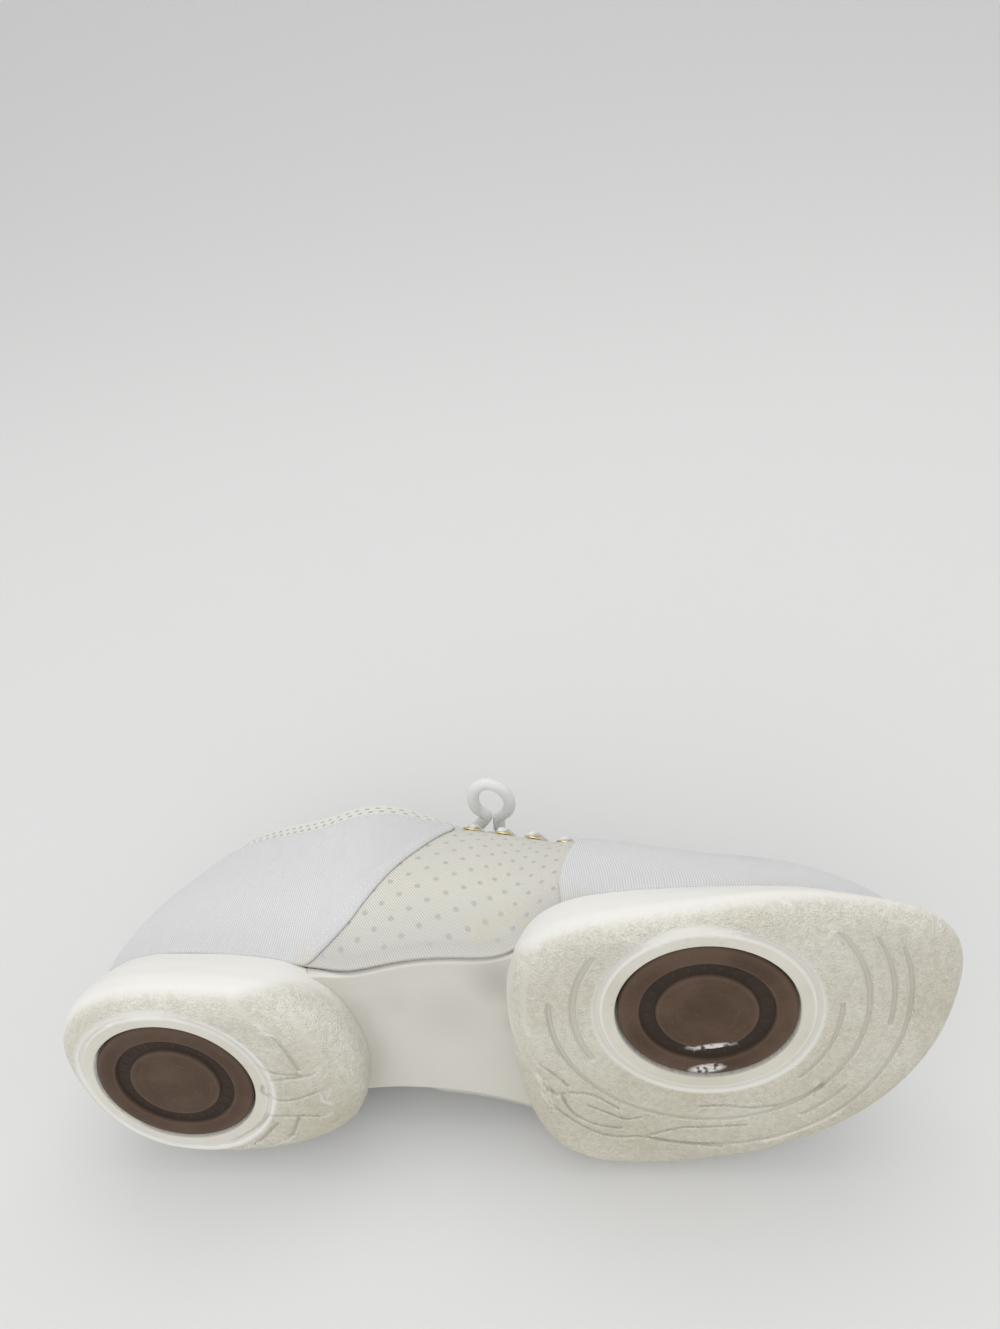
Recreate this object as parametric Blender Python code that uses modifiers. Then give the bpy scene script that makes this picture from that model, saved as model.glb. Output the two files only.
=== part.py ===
"""Left dance sneaker with a split sole, lying on its lateral side.

The shoe is drawn upright, in its last frame: +X runs from heel to toe, +Y to the lateral side
and +Z up from the ground. Every piece then hangs from one empty, which lays the shoe down on the
face of its convex hull that it rests on, with the origin at the middle of its footprint.
"""

import math

import bmesh
import bpy
import numpy as np
from mathutils import Matrix, Vector

MM = 0.001

# Overall sizes of the sole and the last
SOLE_LENGTH = 280 * MM
SOLE_WIDTH = 106 * MM
COLLAR_HEIGHT = 91 * MM
HEEL_STACK = 24 * MM
TOE_SPRING = 7 * MM
HEEL_BEVEL = 3 * MM
MEET_GAP = 0.3 * MM
SEAT_GAP = 0.9 * MM

# Pivot discs and the tread around them
DISC_RADIUS = 26 * MM
DISC_THICKNESS = 4 * MM
DISC_RECESS = 0.4 * MM
DISC_CLEARANCE = 0.7 * MM
HEEL_DISC_X = 37 * MM
FOREFOOT_DISC_X = 210 * MM
GROOVE_WIDTH = 2.2 * MM
GROOVE_DEPTH = 0.7 * MM
RING_MARGIN = 6 * MM

# Walls, panels and inside pieces
ARCH_THICKNESS = 3 * MM
ARCH_LIP = 1.3 * MM
ARCH_BACK = 0.335
ARCH_FRONT = 0.550
UPPER_WALL = 2.0 * MM
PANEL_THICKNESS = 0.9 * MM
PANEL_GAP = 0.45 * MM
INSOLE_THICKNESS = 3.5 * MM
INSOLE_CLEARANCE = 1.0 * MM
TONGUE_CLEARANCE = 1.3 * MM
TONGUE_TUCK = 1.5 * MM
INSOLE_LIFT = 0.8 * MM
TONGUE_THICKNESS = 2.5 * MM
TONGUE_RISE = 17 * MM

# Eyelets and lace
EYELET_PAIRS = 5
EYELET_FLANGE_RADIUS = 3.5 * MM
EYELET_HOLE_RADIUS = 1.6 * MM
EYELET_BARREL_WALL = 0.5 * MM
EYELET_FLANGE_THICKNESS = 0.6 * MM
EYELET_INSET = 6.5 * MM
LACE_DIAMETER = 3.3 * MM
LACE_CLEARANCE = 1.2 * MM
LACE_SAG = 0.8 * MM
LACE_TURN = 0.12
KNOT_RADIUS = 4.2 * MM
AGLET_LENGTH = 9 * MM
AGLET_DIAMETER = 3.7 * MM

# Ribs of the upper, from the back of the heel round the lateral side to the toe and back along
# the medial side. A rib is one cubic arc from the feather edge (foot) to the topline (crown).
# foot_along and crown_along are shares of SOLE_LENGTH, foot_across and crown_across of SOLE_WIDTH,
# and the other lengths of COLLAR_HEIGHT. The flank handle pushes the arc out and up from the foot,
# the crown handle out and down from the crown.
RIB_COLUMNS = ("foot_along", "foot_across", "crown_along", "crown_across", "crown_up",
               "flank_out", "flank_up", "crown_out", "crown_down")
RIBS = (
    (0.014, 0.000, 0.071, 0.010, 1.010, 0.06, 0.24, 0.13, 0.24),
    (0.046, 0.226, 0.096, 0.155, 1.005, 0.06, 0.24, 0.10, 0.24),
    (0.136, 0.325, 0.170, 0.265, 0.975, 0.05, 0.26, 0.06, 0.24),
    (0.250, 0.335, 0.265, 0.290, 0.950, 0.05, 0.24, 0.05, 0.22),
    (0.350, 0.325, 0.360, 0.250, 1.010, 0.08, 0.24, 0.08, 0.22),
    (0.420, 0.360, 0.430, 0.160, 1.125, 0.09, 0.24, 0.14, 0.18),
    (0.485, 0.430, 0.493, 0.155, 1.002, 0.07, 0.22, 0.20, 0.14),
    (0.540, 0.515, 0.546, 0.145, 0.935, 0.05, 0.20, 0.26, 0.12),
    (0.600, 0.580, 0.597, 0.130, 0.865, 0.03, 0.18, 0.32, 0.10),
    (0.680, 0.610, 0.640, 0.115, 0.805, 0.02, 0.17, 0.36, 0.09),
    (0.768, 0.595, 0.668, 0.085, 0.740, 0.02, 0.17, 0.38, 0.10),
    (0.858, 0.510, 0.680, 0.060, 0.720, 0.02, 0.18, 0.40, 0.12),
    (0.938, 0.320, 0.684, 0.047, 0.715, 0.02, 0.19, 0.42, 0.15),
    (0.979, 0.070, 0.686, 0.038, 0.715, 0.02, 0.18, 0.44, 0.18),
    (0.953, -0.112, 0.684, 0.028, 0.715, 0.02, 0.16, 0.42, 0.20),
    (0.885, -0.222, 0.680, 0.014, 0.720, 0.02, 0.16, 0.35, 0.19),
    (0.786, -0.293, 0.668, -0.010, 0.740, 0.02, 0.18, 0.27, 0.13),
    (0.686, -0.318, 0.640, -0.038, 0.805, 0.02, 0.21, 0.22, 0.08),
    (0.600, -0.270, 0.597, -0.057, 0.865, 0.05, 0.25, 0.20, 0.06),
    (0.540, -0.210, 0.546, -0.070, 0.935, 0.09, 0.27, 0.19, 0.08),
    (0.483, -0.190, 0.493, -0.080, 1.002, 0.12, 0.28, 0.18, 0.12),
    (0.420, -0.180, 0.430, -0.090, 1.125, 0.13, 0.27, 0.16, 0.18),
    (0.354, -0.180, 0.360, -0.225, 1.085, 0.13, 0.26, 0.09, 0.24),
    (0.280, -0.230, 0.285, -0.265, 1.010, 0.09, 0.25, 0.05, 0.24),
    (0.196, -0.300, 0.215, -0.265, 0.990, 0.05, 0.25, 0.05, 0.24),
    (0.118, -0.318, 0.147, -0.217, 1.005, 0.03, 0.24, 0.07, 0.24),
    (0.046, -0.230, 0.096, -0.130, 1.010, 0.04, 0.24, 0.10, 0.24),
)

# Height of the sole's top along the shoe: share of SOLE_LENGTH, share of HEEL_STACK
SOLE_TOP_COLUMNS = ("along", "height")
SOLE_TOP = ((-0.05, 1.00), (0.14, 0.98), (0.29, 0.91), (0.38, 0.84), (0.45, 0.81),
            (0.54, 0.79), (0.64, 0.77), (0.72, 0.73), (0.80, 0.67), (0.90, 0.61), (0.97, 0.63),
            (1.05, 0.70))

# Widest outline of each sole pad, back centre first and then by the lateral side. Along is a share
# of SOLE_LENGTH, across of SOLE_WIDTH, and lean, by which the top is pulled in, of EDGE_ROUND.
OUTLINE_COLUMNS = ("along", "across", "lean")
HEEL_OUTLINE = ((-0.010, 0.000, 0.50), (0.000, 0.135, 0.50), (0.034, 0.262, 0.45),
                (0.090, 0.346, 0.40), (0.170, 0.386, 0.40), (0.250, 0.374, 0.35),
                (0.312, 0.310, 0.26), (0.343, 0.185, 0.26), (0.350, 0.020, 0.26),
                (0.338, -0.130, 0.26), (0.305, -0.228, 0.26), (0.245, -0.300, 0.30),
                (0.170, -0.352, 0.40), (0.095, -0.360, 0.45), (0.032, -0.280, 0.50),
                (-0.003, -0.145, 0.50))
FOREFOOT_OUTLINE = ((0.535, 0.000, 0.26), (0.526, 0.200, 0.26), (0.525, 0.370, 0.26),
                    (0.541, 0.515, 0.30), (0.580, 0.605, 0.30), (0.632, 0.643, 0.30),
                    (0.700, 0.655, 0.40), (0.770, 0.640, 0.45), (0.840, 0.587, 0.50),
                    (0.912, 0.490, 0.60), (0.969, 0.343, 0.65), (1.006, 0.130, 0.60),
                    (1.012, -0.030, 0.55), (0.985, -0.162, 0.65), (0.930, -0.258, 0.70),
                    (0.866, -0.325, 0.65), (0.770, -0.350, 0.42), (0.682, -0.352, 0.24),
                    (0.612, -0.328, 0.20), (0.566, -0.245, 0.24), (0.544, -0.122, 0.26))

# Side of a pad from its flat bottom to its top. Height is a share of the pad's height, inset of
# EDGE_ROUND and lean of the outline's own lean.
EDGE_ROUND = 9 * MM
PAD_SIDE_COLUMNS = ("height", "inset", "lean")
PAD_SIDE = ((0.00, 1.00, 0.0), (0.04, 0.55, 0.0), (0.14, 0.24, 0.0), (0.30, 0.05, 0.0),
            (0.48, 0.00, 0.02), (0.75, 0.00, 0.38), (1.00, 0.00, 1.00))

# Arcs of the tread round each disc: radius as a share of DISC_RADIUS, start and end in degrees,
# 0 towards the toe and positive towards the medial side
FOREFOOT_ARCS = ((1.50, 135, 198), (1.77, 35, -195))
HEEL_ARCS = ((1.71, 44, -1),)

# Heel panel over the back of the upper and toe panel over its front. Each row is a rib and how far
# up that rib the panel's lower and upper edge lie.
PANEL_COLUMNS = ("rib", "low", "high")
HEEL_PANEL = ((20.65, 0.76, 0.81), (21.0, 0.56, 0.84), (22.0, 0.20, 0.86), (22.6, 0.00, 0.86),
              (24.0, 0.00, 0.86), (25.5, 0.00, 0.86), (27.0, 0.00, 0.86), (28.5, 0.00, 0.86),
              (30.0, 0.00, 0.86), (30.4, 0.00, 0.86), (31.0, 0.20, 0.86), (31.8, 0.52, 0.84),
              (32.3, 0.74, 0.79))
TOE_PANEL = ((8.2, 0.00, 0.18), (8.4, 0.00, 0.40), (8.75, 0.00, 0.62), (9.2, 0.00, 0.76),
             (10.0, 0.00, 0.83), (11.5, 0.00, 0.87), (13.0, 0.00, 0.88), (14.5, 0.00, 0.87),
             (16.0, 0.00, 0.83), (16.8, 0.00, 0.78), (17.2, 0.00, 0.66), (17.55, 0.00, 0.40),
             (17.75, 0.00, 0.18))

# Loop of the bow that stands up on the medial side, as steps from the knot: along, across and up,
# as shares of LOOP_REACH
LOOP_REACH = 35 * MM
MEDIAL_LOOP = ((0.32, -0.42, -0.05), (0.42, -0.56, -0.10), (0.46, -0.72, -0.13),
               (0.38, -0.86, -0.14), (0.24, -0.89, -0.13), (0.10, -0.80, -0.11),
               (0.04, -0.64, -0.07), (0.01, -0.46, -0.03))

# Loop and ends that hang over the lateral side: rib, height up the rib and lift from the surface
# as a share of LACE_DIAMETER. They start beside the knot.
LAY_COLUMNS = ("rib", "up", "lift")
LATERAL_LOOP = ((5.35, 0.985, 2.3), (5.30, 0.91, 1.6), (5.24, 0.83, 1.2), (5.20, 0.76, 1.1),
                (5.10, 0.69, 1.1), (4.85, 0.655, 1.1), (4.62, 0.69, 1.1), (4.60, 0.77, 1.1),
                (4.72, 0.85, 1.2), (4.88, 0.92, 1.8), (4.98, 0.985, 2.6))
BACK_END = ((5.95, 0.97, 2.4), (6.02, 0.90, 2.2), (6.06, 0.83, 1.4), (6.08, 0.76, 1.1),
            (6.10, 0.69, 1.1))
FRONT_END = ((6.50, 1.00, 3.0), (6.70, 0.93, 2.6), (6.86, 0.86, 1.8), (6.96, 0.79, 1.1),
             (7.00, 0.72, 1.1))

# Plan angles in degrees at which each lace leaves the knot and comes back to it
KNOT_SHAPE = (1.0, 1.15, 0.8)
KNOT_EXITS = {"lace_loop_medial": (-50, -120), "lace_loop_lateral": (98, 150),
              "lace_end_back": (50, None), "lace_end_front": (2, None)}

AROUND = 60
UP_THE_RIB = 7
DENSITIES = {"foam": 450.0, "rubber": 1050.0, "plastic": 1150.0, "cloth": 500.0, "metal": 6000.0}


def rows_to_columns(rows, names):
    """One array for each named column of a table."""
    return dict(zip(names, np.array(rows, float).T))


def closed_spline(knots, values, where):
    """Periodic cubic through values at knots (the last knot is the period), read at where."""
    values = np.asarray(values, float)
    count = len(values)
    step = np.diff(knots)
    matrix = np.zeros((count, count))
    right = np.zeros((count,) + values.shape[1:])
    for i in range(count):
        before, after = (i - 1) % count, (i + 1) % count
        matrix[i, before] += step[before]
        matrix[i, i] += 2 * (step[before] + step[i])
        matrix[i, after] += step[i]
        right[i] = 6 * ((values[after] - values[i]) / step[i]
                        - (values[i] - values[before]) / step[before])
    bend = np.linalg.solve(matrix, right.reshape(count, -1)).reshape(right.shape)
    period = knots[-1] - knots[0]
    place = np.mod(np.asarray(where, float) - knots[0], period) + knots[0]
    i = np.clip(np.searchsorted(knots, place, side="right") - 1, 0, count - 1)
    j = (i + 1) % count
    shape = place.shape + (1,) * (values.ndim - 1)
    h = step[i].reshape(shape)
    a = (np.asarray(knots)[i + 1] - place).reshape(shape) / h
    b = 1 - a
    return (a * values[i] + b * values[j]
            + ((a ** 3 - a) * bend[i] + (b ** 3 - b) * bend[j]) * h * h / 6)


def turn_outward(loop):
    """Outward plan normals of a closed loop of points, one row for each point."""
    along = np.roll(loop, -1, axis=0) - np.roll(loop, 1, axis=0)
    normal = np.column_stack([along[:, 1], -along[:, 0]])
    normal /= np.linalg.norm(normal, axis=1)[:, None]
    area = np.sum(loop[:, 0] * np.roll(loop[:, 1], -1) - loop[:, 1] * np.roll(loop[:, 0], -1))
    return normal if area > 0 else -normal


def sole_top(x):
    """Height of the sole's top surface at x."""
    table = rows_to_columns(SOLE_TOP, SOLE_TOP_COLUMNS)
    share = np.interp(x / SOLE_LENGTH, table["along"], table["height"])
    return share * HEEL_STACK


def sole_bottom(x):
    """Height of the tread at x: flat, with the toe's spring and the bevel behind the heel."""
    spring_start, spring_length = 0.80 * SOLE_LENGTH, 0.20 * SOLE_LENGTH
    bevel_length = 0.09 * SOLE_LENGTH
    spring = TOE_SPRING * np.clip((x - spring_start) / spring_length, 0, 1.2) ** 1.8
    bevel = HEEL_BEVEL * np.clip((bevel_length - x) / bevel_length, 0, 1.2) ** 2
    return spring + bevel


class Last:
    """The upper's outer surface: ribs joined by a periodic cubic, read by rib number and height."""

    def __init__(self):
        rib = rows_to_columns(RIBS, RIB_COLUMNS)
        foot = np.column_stack([rib["foot_along"] * SOLE_LENGTH, rib["foot_across"] * SOLE_WIDTH])
        crown = np.column_stack([rib["crown_along"] * SOLE_LENGTH,
                                 rib["crown_across"] * SOLE_WIDTH])
        crown_z = rib["crown_up"] * COLLAR_HEIGHT
        foot_z = sole_top(foot[:, 0]) + SEAT_GAP
        out = turn_outward(foot)
        out_and_up = np.column_stack([foot + out * (rib["flank_out"] * COLLAR_HEIGHT)[:, None],
                                      foot_z + rib["flank_up"] * COLLAR_HEIGHT])
        out_and_down = np.column_stack([crown + out * (rib["crown_out"] * COLLAR_HEIGHT)[:, None],
                                        crown_z - rib["crown_down"] * COLLAR_HEIGHT])
        self.count = len(RIBS)
        step = np.linalg.norm(np.roll(foot, -1, axis=0) - foot, axis=1)
        self.knots = np.concatenate([[0.0], np.cumsum(step)])
        self.controls = np.stack([np.column_stack([foot, foot_z]), out_and_up, out_and_down,
                                  np.column_stack([crown, crown_z])], axis=1)

    def knot(self, rib):
        """Length along the feather edge at a rib number, which may pass the last rib."""
        rib = np.mod(np.asarray(rib, float), self.count)
        return np.interp(rib, np.arange(self.count + 1), self.knots)

    def ribs_evenly(self, count):
        """Rib numbers of count places spaced evenly along the feather edge."""
        places = np.arange(count) * self.knots[-1] / count
        return np.interp(places, self.knots, np.arange(self.count + 1))

    def point(self, rib, up):
        """Points of the outer surface; rib and up are arrays of one shape."""
        controls = closed_spline(self.knots, self.controls, self.knot(rib))
        up = np.asarray(up, float)[..., None]
        down = 1 - up
        place = (down ** 3 * controls[..., 0, :] + 3 * down ** 2 * up * controls[..., 1, :]
                 + 3 * down * up ** 2 * controls[..., 2, :] + up ** 3 * controls[..., 3, :])
        return place

    def normal(self, rib, up):
        """Outward unit normals of the outer surface."""
        small = 1e-3
        rib, up = np.asarray(rib, float), np.asarray(up, float)
        low, high = np.clip(up - small, 0, 1), np.clip(up + small, 0, 1)
        across = self.point(rib + small, up) - self.point(rib - small, up)
        along = self.point(rib, high) - self.point(rib, low)
        normal = np.cross(along, across)
        return normal / np.linalg.norm(normal, axis=-1)[..., None]

    def offset(self, rib, up, distance):
        """Points a distance outside the outer surface."""
        return self.point(rib, up) + self.normal(rib, up) * distance

    def faceted(self, rib, up, distance):
        """Points a distance outside the upper's own facets, so that what lies there clears them."""
        column = self.knot(rib) / self.knots[-1] * AROUND
        row = np.clip(np.asarray(up, float), 0, 1) * UP_THE_RIB
        left = np.minimum(np.floor(column), AROUND - 1).astype(int)
        low = np.minimum(np.floor(row), UP_THE_RIB - 1).astype(int)
        a, b = (column - left)[..., None], (row - low)[..., None]
        ribs = self.ribs_evenly(AROUND)
        corner = [[self.offset(ribs[(left + i) % AROUND], (low + j) / UP_THE_RIB, distance)
                   for j in (0, 1)] for i in (0, 1)]
        return ((1 - a) * ((1 - b) * corner[0][0] + b * corner[0][1])
                + a * ((1 - b) * corner[1][0] + b * corner[1][1]))

    def columns_between(self, table):
        """Rib numbers for a panel: the upper's own columns, with more where its ends slant."""
        start, end = table[0], table[-1]
        ribs = self.ribs_evenly(AROUND)
        ribs = np.concatenate([ribs, ribs + self.count])
        inside = ribs[(ribs > start + 0.06) & (ribs < end - 0.06)]
        slanting = np.concatenate([np.linspace(start, table[3], 11), np.linspace(table[-4], end, 11)])
        own = np.abs(slanting[:, None] - inside).min(axis=1) > 0.06
        return np.unique(np.concatenate([[start], inside, slanting[own], [end]]))

    def up_from_crown(self, rib, distance):
        """How far up a rib a point lies that is a distance short of its crown."""
        share = np.linspace(1, 0.5, 60)
        line = self.point(np.full(60, float(rib)), share)
        walked = np.concatenate([[0], np.cumsum(np.linalg.norm(np.diff(line, axis=0), axis=1))])
        return float(np.interp(distance, walked, share))


def clear_scene():
    for thing in list(bpy.data.objects):
        bpy.data.objects.remove(thing)


def new_collection(name):
    collection = bpy.data.collections.new(name)
    bpy.context.scene.collection.children.link(collection)
    return collection


def make_material(name, colour, roughness, metallic=0.0):
    material = bpy.data.materials.new(name)
    material.use_nodes = True
    shader = material.node_tree.nodes["Principled BSDF"]
    shader.inputs["Base Color"].default_value = (*colour, 1)
    shader.inputs["Roughness"].default_value = roughness
    shader.inputs["Metallic"].default_value = metallic
    return material


def add_object(name, mesh, material, collection):
    thing = bpy.data.objects.new(name, mesh)
    if material:
        thing.data.materials.append(material)
    collection.objects.link(thing)
    return thing


def mesh_from_bmesh(name, shape, smooth_angle=35):
    mesh = bpy.data.meshes.new(name)
    shape.to_mesh(mesh)
    shape.free()
    mesh.shade_smooth()
    mesh.set_sharp_from_angle(angle=math.radians(smooth_angle))
    return mesh


def grid_faces(shape, rows, closed=False):
    """Quads between rows of bmesh vertices; closed joins each row's end to its start."""
    for row, above in zip(rows[:-1], rows[1:]):
        count = len(row)
        for i in range(count if closed else count - 1):
            j = (i + 1) % count
            corners = [row[i], row[j], above[j], above[i]]
            corners = [c for k, c in enumerate(corners) if c not in corners[:k]]
            if len(corners) > 2:
                shape.faces.new(corners)


def slab_mesh(name, near, far):
    """Closed slab between two grids of points, with its four edges walled."""
    shape = bmesh.new()
    sides = [[[shape.verts.new(p) for p in row] for row in grid] for grid in (near, far)]
    for side in sides:
        grid_faces(shape, side)
    first, second = sides
    around = ([(0, j) for j in range(len(near[0]))]
              + [(i, -1) for i in range(1, len(near))]
              + [(-1, j) for j in range(len(near[0]) - 2, -1, -1)]
              + [(i, 0) for i in range(len(near) - 2, 0, -1)])
    rims = [[side[i][j] for i, j in around] for side in (first, second)]
    grid_faces(shape, rims, closed=True)
    bmesh.ops.remove_doubles(shape, verts=shape.verts, dist=0.00002)
    bmesh.ops.dissolve_degenerate(shape, edges=shape.edges, dist=0.00001)
    bmesh.ops.recalc_face_normals(shape, faces=shape.faces)
    return mesh_from_bmesh(name, shape)


def apply_boolean(thing, cutter, operation="DIFFERENCE"):
    modifier = thing.modifiers.new(operation.lower(), "BOOLEAN")
    modifier.object = cutter
    modifier.operation = operation
    modifier.solver = "EXACT"


def hide_cutter(cutter):
    cutter.hide_render = True
    cutter.display_type = "WIRE"


def pad_outline(table, count=48):
    """Closed widest outline of a pad as count points, with the lean at each."""
    corners = np.array(table) * (SOLE_LENGTH, SOLE_WIDTH, EDGE_ROUND)
    step = np.linalg.norm(np.roll(corners, -1, axis=0) - corners, axis=1)
    knots = np.concatenate([[0.0], np.cumsum(step)])
    return closed_spline(knots, corners, np.arange(count) * knots[-1] / count)


def pad_mesh(name, table, soft_start, soft_end, soft_gain):
    """Pad of the sole: rings of its outline from the flat bottom up its side to its top.

    The bottom edge is rounder towards the pad's end at the arch: by soft_gain at soft_end.
    """
    outline = pad_outline(table)
    lean = outline[:, 2]
    outline = outline[:, :2]
    outward = turn_outward(outline)
    side = rows_to_columns(PAD_SIDE, PAD_SIDE_COLUMNS)
    softness = np.clip((outline[:, 0] / SOLE_LENGTH - soft_start) / (soft_end - soft_start), 0, 1)
    shape = bmesh.new()
    rings = []
    for height, inset, leaning in zip(side["height"], side["inset"], side["lean"]):
        widen = 1 + soft_gain * softness * (height < 0.4)
        plan = outline - outward * (inset * EDGE_ROUND * widen + leaning * lean)[:, None]
        bottom = sole_bottom(plan[:, 0])
        z = bottom + height * (sole_top(plan[:, 0]) - bottom)
        rings.append([shape.verts.new((*p, q)) for p, q in zip(plan, z)])
    grid_faces(shape, rings, closed=True)
    for ring in (rings[0], rings[-1]):
        half = len(ring) // 2
        lateral = ring[:half + 1]
        medial = [ring[0]] + ring[:half - 1:-1]
        grid_faces(shape, [lateral, medial])
    bmesh.ops.recalc_face_normals(shape, faces=shape.faces)
    return mesh_from_bmesh(name, shape)


def cylinder_mesh(name, radius, depth, segments, centre):
    shape = bmesh.new()
    bmesh.ops.create_cone(shape, cap_ends=True, segments=segments, radius1=radius, radius2=radius,
                          depth=depth, matrix=Matrix.Translation(centre))
    return mesh_from_bmesh(name, shape)


def groove_mesh(name, centre_x, radius, start, end):
    """Cutter for one groove of the tread: a bar bent round the disc's centre, on the tread."""
    reach = 2 * MM
    full = abs(end - start) >= 360
    steps = max(3, round(abs(end - start) / 11))
    shape = bmesh.new()
    half = GROOVE_WIDTH / 2
    rows = []
    for k in range(steps if full else steps + 1):
        angle = -math.radians(start + (end - start) * k / steps)
        row = []
        for r, lift in ((radius - half, -reach), (radius + half, -reach),
                        (radius + half * 0.7, GROOVE_DEPTH), (radius - half * 0.7, GROOVE_DEPTH)):
            x, y = centre_x + r * math.cos(angle), r * math.sin(angle)
            row.append(shape.verts.new((x, y, float(sole_bottom(x)) + lift)))
        rows.append(row)
    if full:
        rows.append(rows[0])
    grid_faces(shape, rows, closed=True)
    if not full:
        shape.faces.new(rows[0])
        shape.faces.new(rows[-1])
    bmesh.ops.recalc_face_normals(shape, faces=shape.faces)
    return mesh_from_bmesh(name, shape)


def turned_object(name, profile, segments, material, collection):
    """Solid turned about Z from a profile of (radius, height) that runs from top to bottom."""
    shape = bmesh.new()
    points = [shape.verts.new((r, 0, z)) for r, z in profile]
    for a, b in zip(points[:-1], points[1:]):
        shape.edges.new((a, b))
    if profile[0][0] > 0:
        shape.edges.new((points[-1], points[0]))
    thing = add_object(name, mesh_from_bmesh(name, shape), material, collection)
    screw = thing.modifiers.new("turn", "SCREW")
    screw.axis = "Z"
    screw.steps = segments
    screw.render_steps = segments
    screw.use_merge_vertices = True
    screw.merge_threshold = 0.00002
    return thing


def make_pads(materials, parts, cutters):
    """Heel pad and forefoot pad, each with its disc's pocket and its grooves cut."""
    pads = {}
    for name, table, disc_x, arcs, soft in (
            ("heel_sole", HEEL_OUTLINE, HEEL_DISC_X, HEEL_ARCS, (0.24, 0.34, 0.6)),
            ("forefoot_sole", FOREFOOT_OUTLINE, FOREFOOT_DISC_X, FOREFOOT_ARCS, (0.60, 0.53, 0.1))):
        pad = add_object(name, pad_mesh(name, table, *soft), materials["foam"], parts)
        pocket_radius = DISC_RADIUS + DISC_CLEARANCE
        pocket_depth = DISC_THICKNESS + DISC_RECESS + MEET_GAP
        pocket = cylinder_mesh(name + "_pocket", pocket_radius, 2 * pocket_depth, 40,
                               Vector((disc_x, 0, 0)))
        cutter_meshes = [pocket]
        ring_radius = DISC_RADIUS + RING_MARGIN
        cutter_meshes.append(groove_mesh(name + "_ring", disc_x, ring_radius, 0, 360))
        for k, (radius, start, end) in enumerate(arcs):
            cutter_meshes.append(groove_mesh(f"{name}_arc_{k}", disc_x, radius * DISC_RADIUS,
                                             start, end))
        for mesh in cutter_meshes:
            cutter = add_object(mesh.name + "_cutter", mesh, None, cutters)
            hide_cutter(cutter)
            apply_boolean(pad, cutter)
        pads[name] = pad
    return pads


def make_discs(material, parts):
    """Pivot discs: a flat annulus, a sunk channel and a low centre plate, facing the ground."""
    face = DISC_RECESS
    back = DISC_RECESS + DISC_THICKNESS
    channel_depth, plate_sink, edge = 1.2 * MM, 0.2 * MM, 1.0 * MM
    r = DISC_RADIUS
    profile = ((0, back), (r, back), (r, face + edge), (r - edge, face), (0.745 * r, face),
               (0.715 * r, face + channel_depth), (0.60 * r, face + channel_depth),
               (0.57 * r, face + plate_sink), (0, face + plate_sink))
    for name, x in (("pivot_disc_heel", HEEL_DISC_X), ("pivot_disc_forefoot", FOREFOOT_DISC_X)):
        disc = turned_object(name, profile, 28, material, parts)
        disc.location = (x, 0, 0)


def feather_side(last, x, medial):
    """Across position of the feather edge at x, on the medial or the lateral side."""
    rib = last.ribs_evenly(400)
    foot = last.point(rib, np.zeros(len(rib)))
    toe = int(np.argmax(foot[:, 0]))
    side = foot[toe:] if medial else foot[:toe + 1]
    order = np.argsort(side[:, 0])
    return np.interp(x, side[order, 0], side[order, 1])


def arch_end(table, facing, first, last_point, inset, count):
    """Stretch of a pad's outline, pulled in by inset, between two across positions."""
    outline = pad_outline(table, 400)[:, :2]
    inside = outline - turn_outward(outline) * inset
    middle = inside[:, 0].mean()
    keep = inside[inside[:, 0] > middle] if facing > 0 else inside[inside[:, 0] < middle]
    keep = keep[np.argsort(keep[:, 1])]
    across = np.linspace(first, last_point, count)
    return np.column_stack([np.interp(across, keep[:, 1], keep[:, 0]), across])


def make_arch(last, material, parts):
    """Arch plate between the pads: a patch bounded by both pads and by the feather edge."""
    count = 9
    clear = 0.08 * EDGE_ROUND - MEET_GAP
    ends = []
    for table, facing, reach in ((HEEL_OUTLINE, 1, ARCH_BACK), (FOREFOOT_OUTLINE, -1, ARCH_FRONT)):
        x = reach * SOLE_LENGTH
        medial = feather_side(last, x, True) - ARCH_LIP
        lateral = feather_side(last, x, False) + ARCH_LIP
        ends.append(arch_end(table, facing, medial, lateral, clear, count))
    back, front = ends
    a = np.linspace(0, 1, count)[:, None, None]
    b = np.linspace(0, 1, count)[None, :, None]
    edges = []
    for corner, medial in ((0, True), (-1, False)):
        x = np.linspace(back[corner, 0], front[corner, 0], count)
        lip = -ARCH_LIP if medial else ARCH_LIP
        y = feather_side(last, x, medial) + lip
        share = np.linspace(0, 1, count)
        y += (1 - share) * (back[corner, 1] - y[0]) + share * (front[corner, 1] - y[-1])
        edges.append(np.column_stack([x, y]))
    corners = ((1 - a) * ((1 - b) * back[0] + b * back[-1])
               + a * ((1 - b) * front[0] + b * front[-1]))
    plan = ((1 - a) * back[None] + a * front[None] + (1 - b) * edges[0][:, None]
            + b * edges[1][:, None] - corners)
    top = sole_top(plan[..., 0])
    near = np.dstack([plan, top])
    far = np.dstack([plan, top - ARCH_THICKNESS])
    return add_object("arch_plate", slab_mesh("arch_plate", near, far), material, parts)


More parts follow.
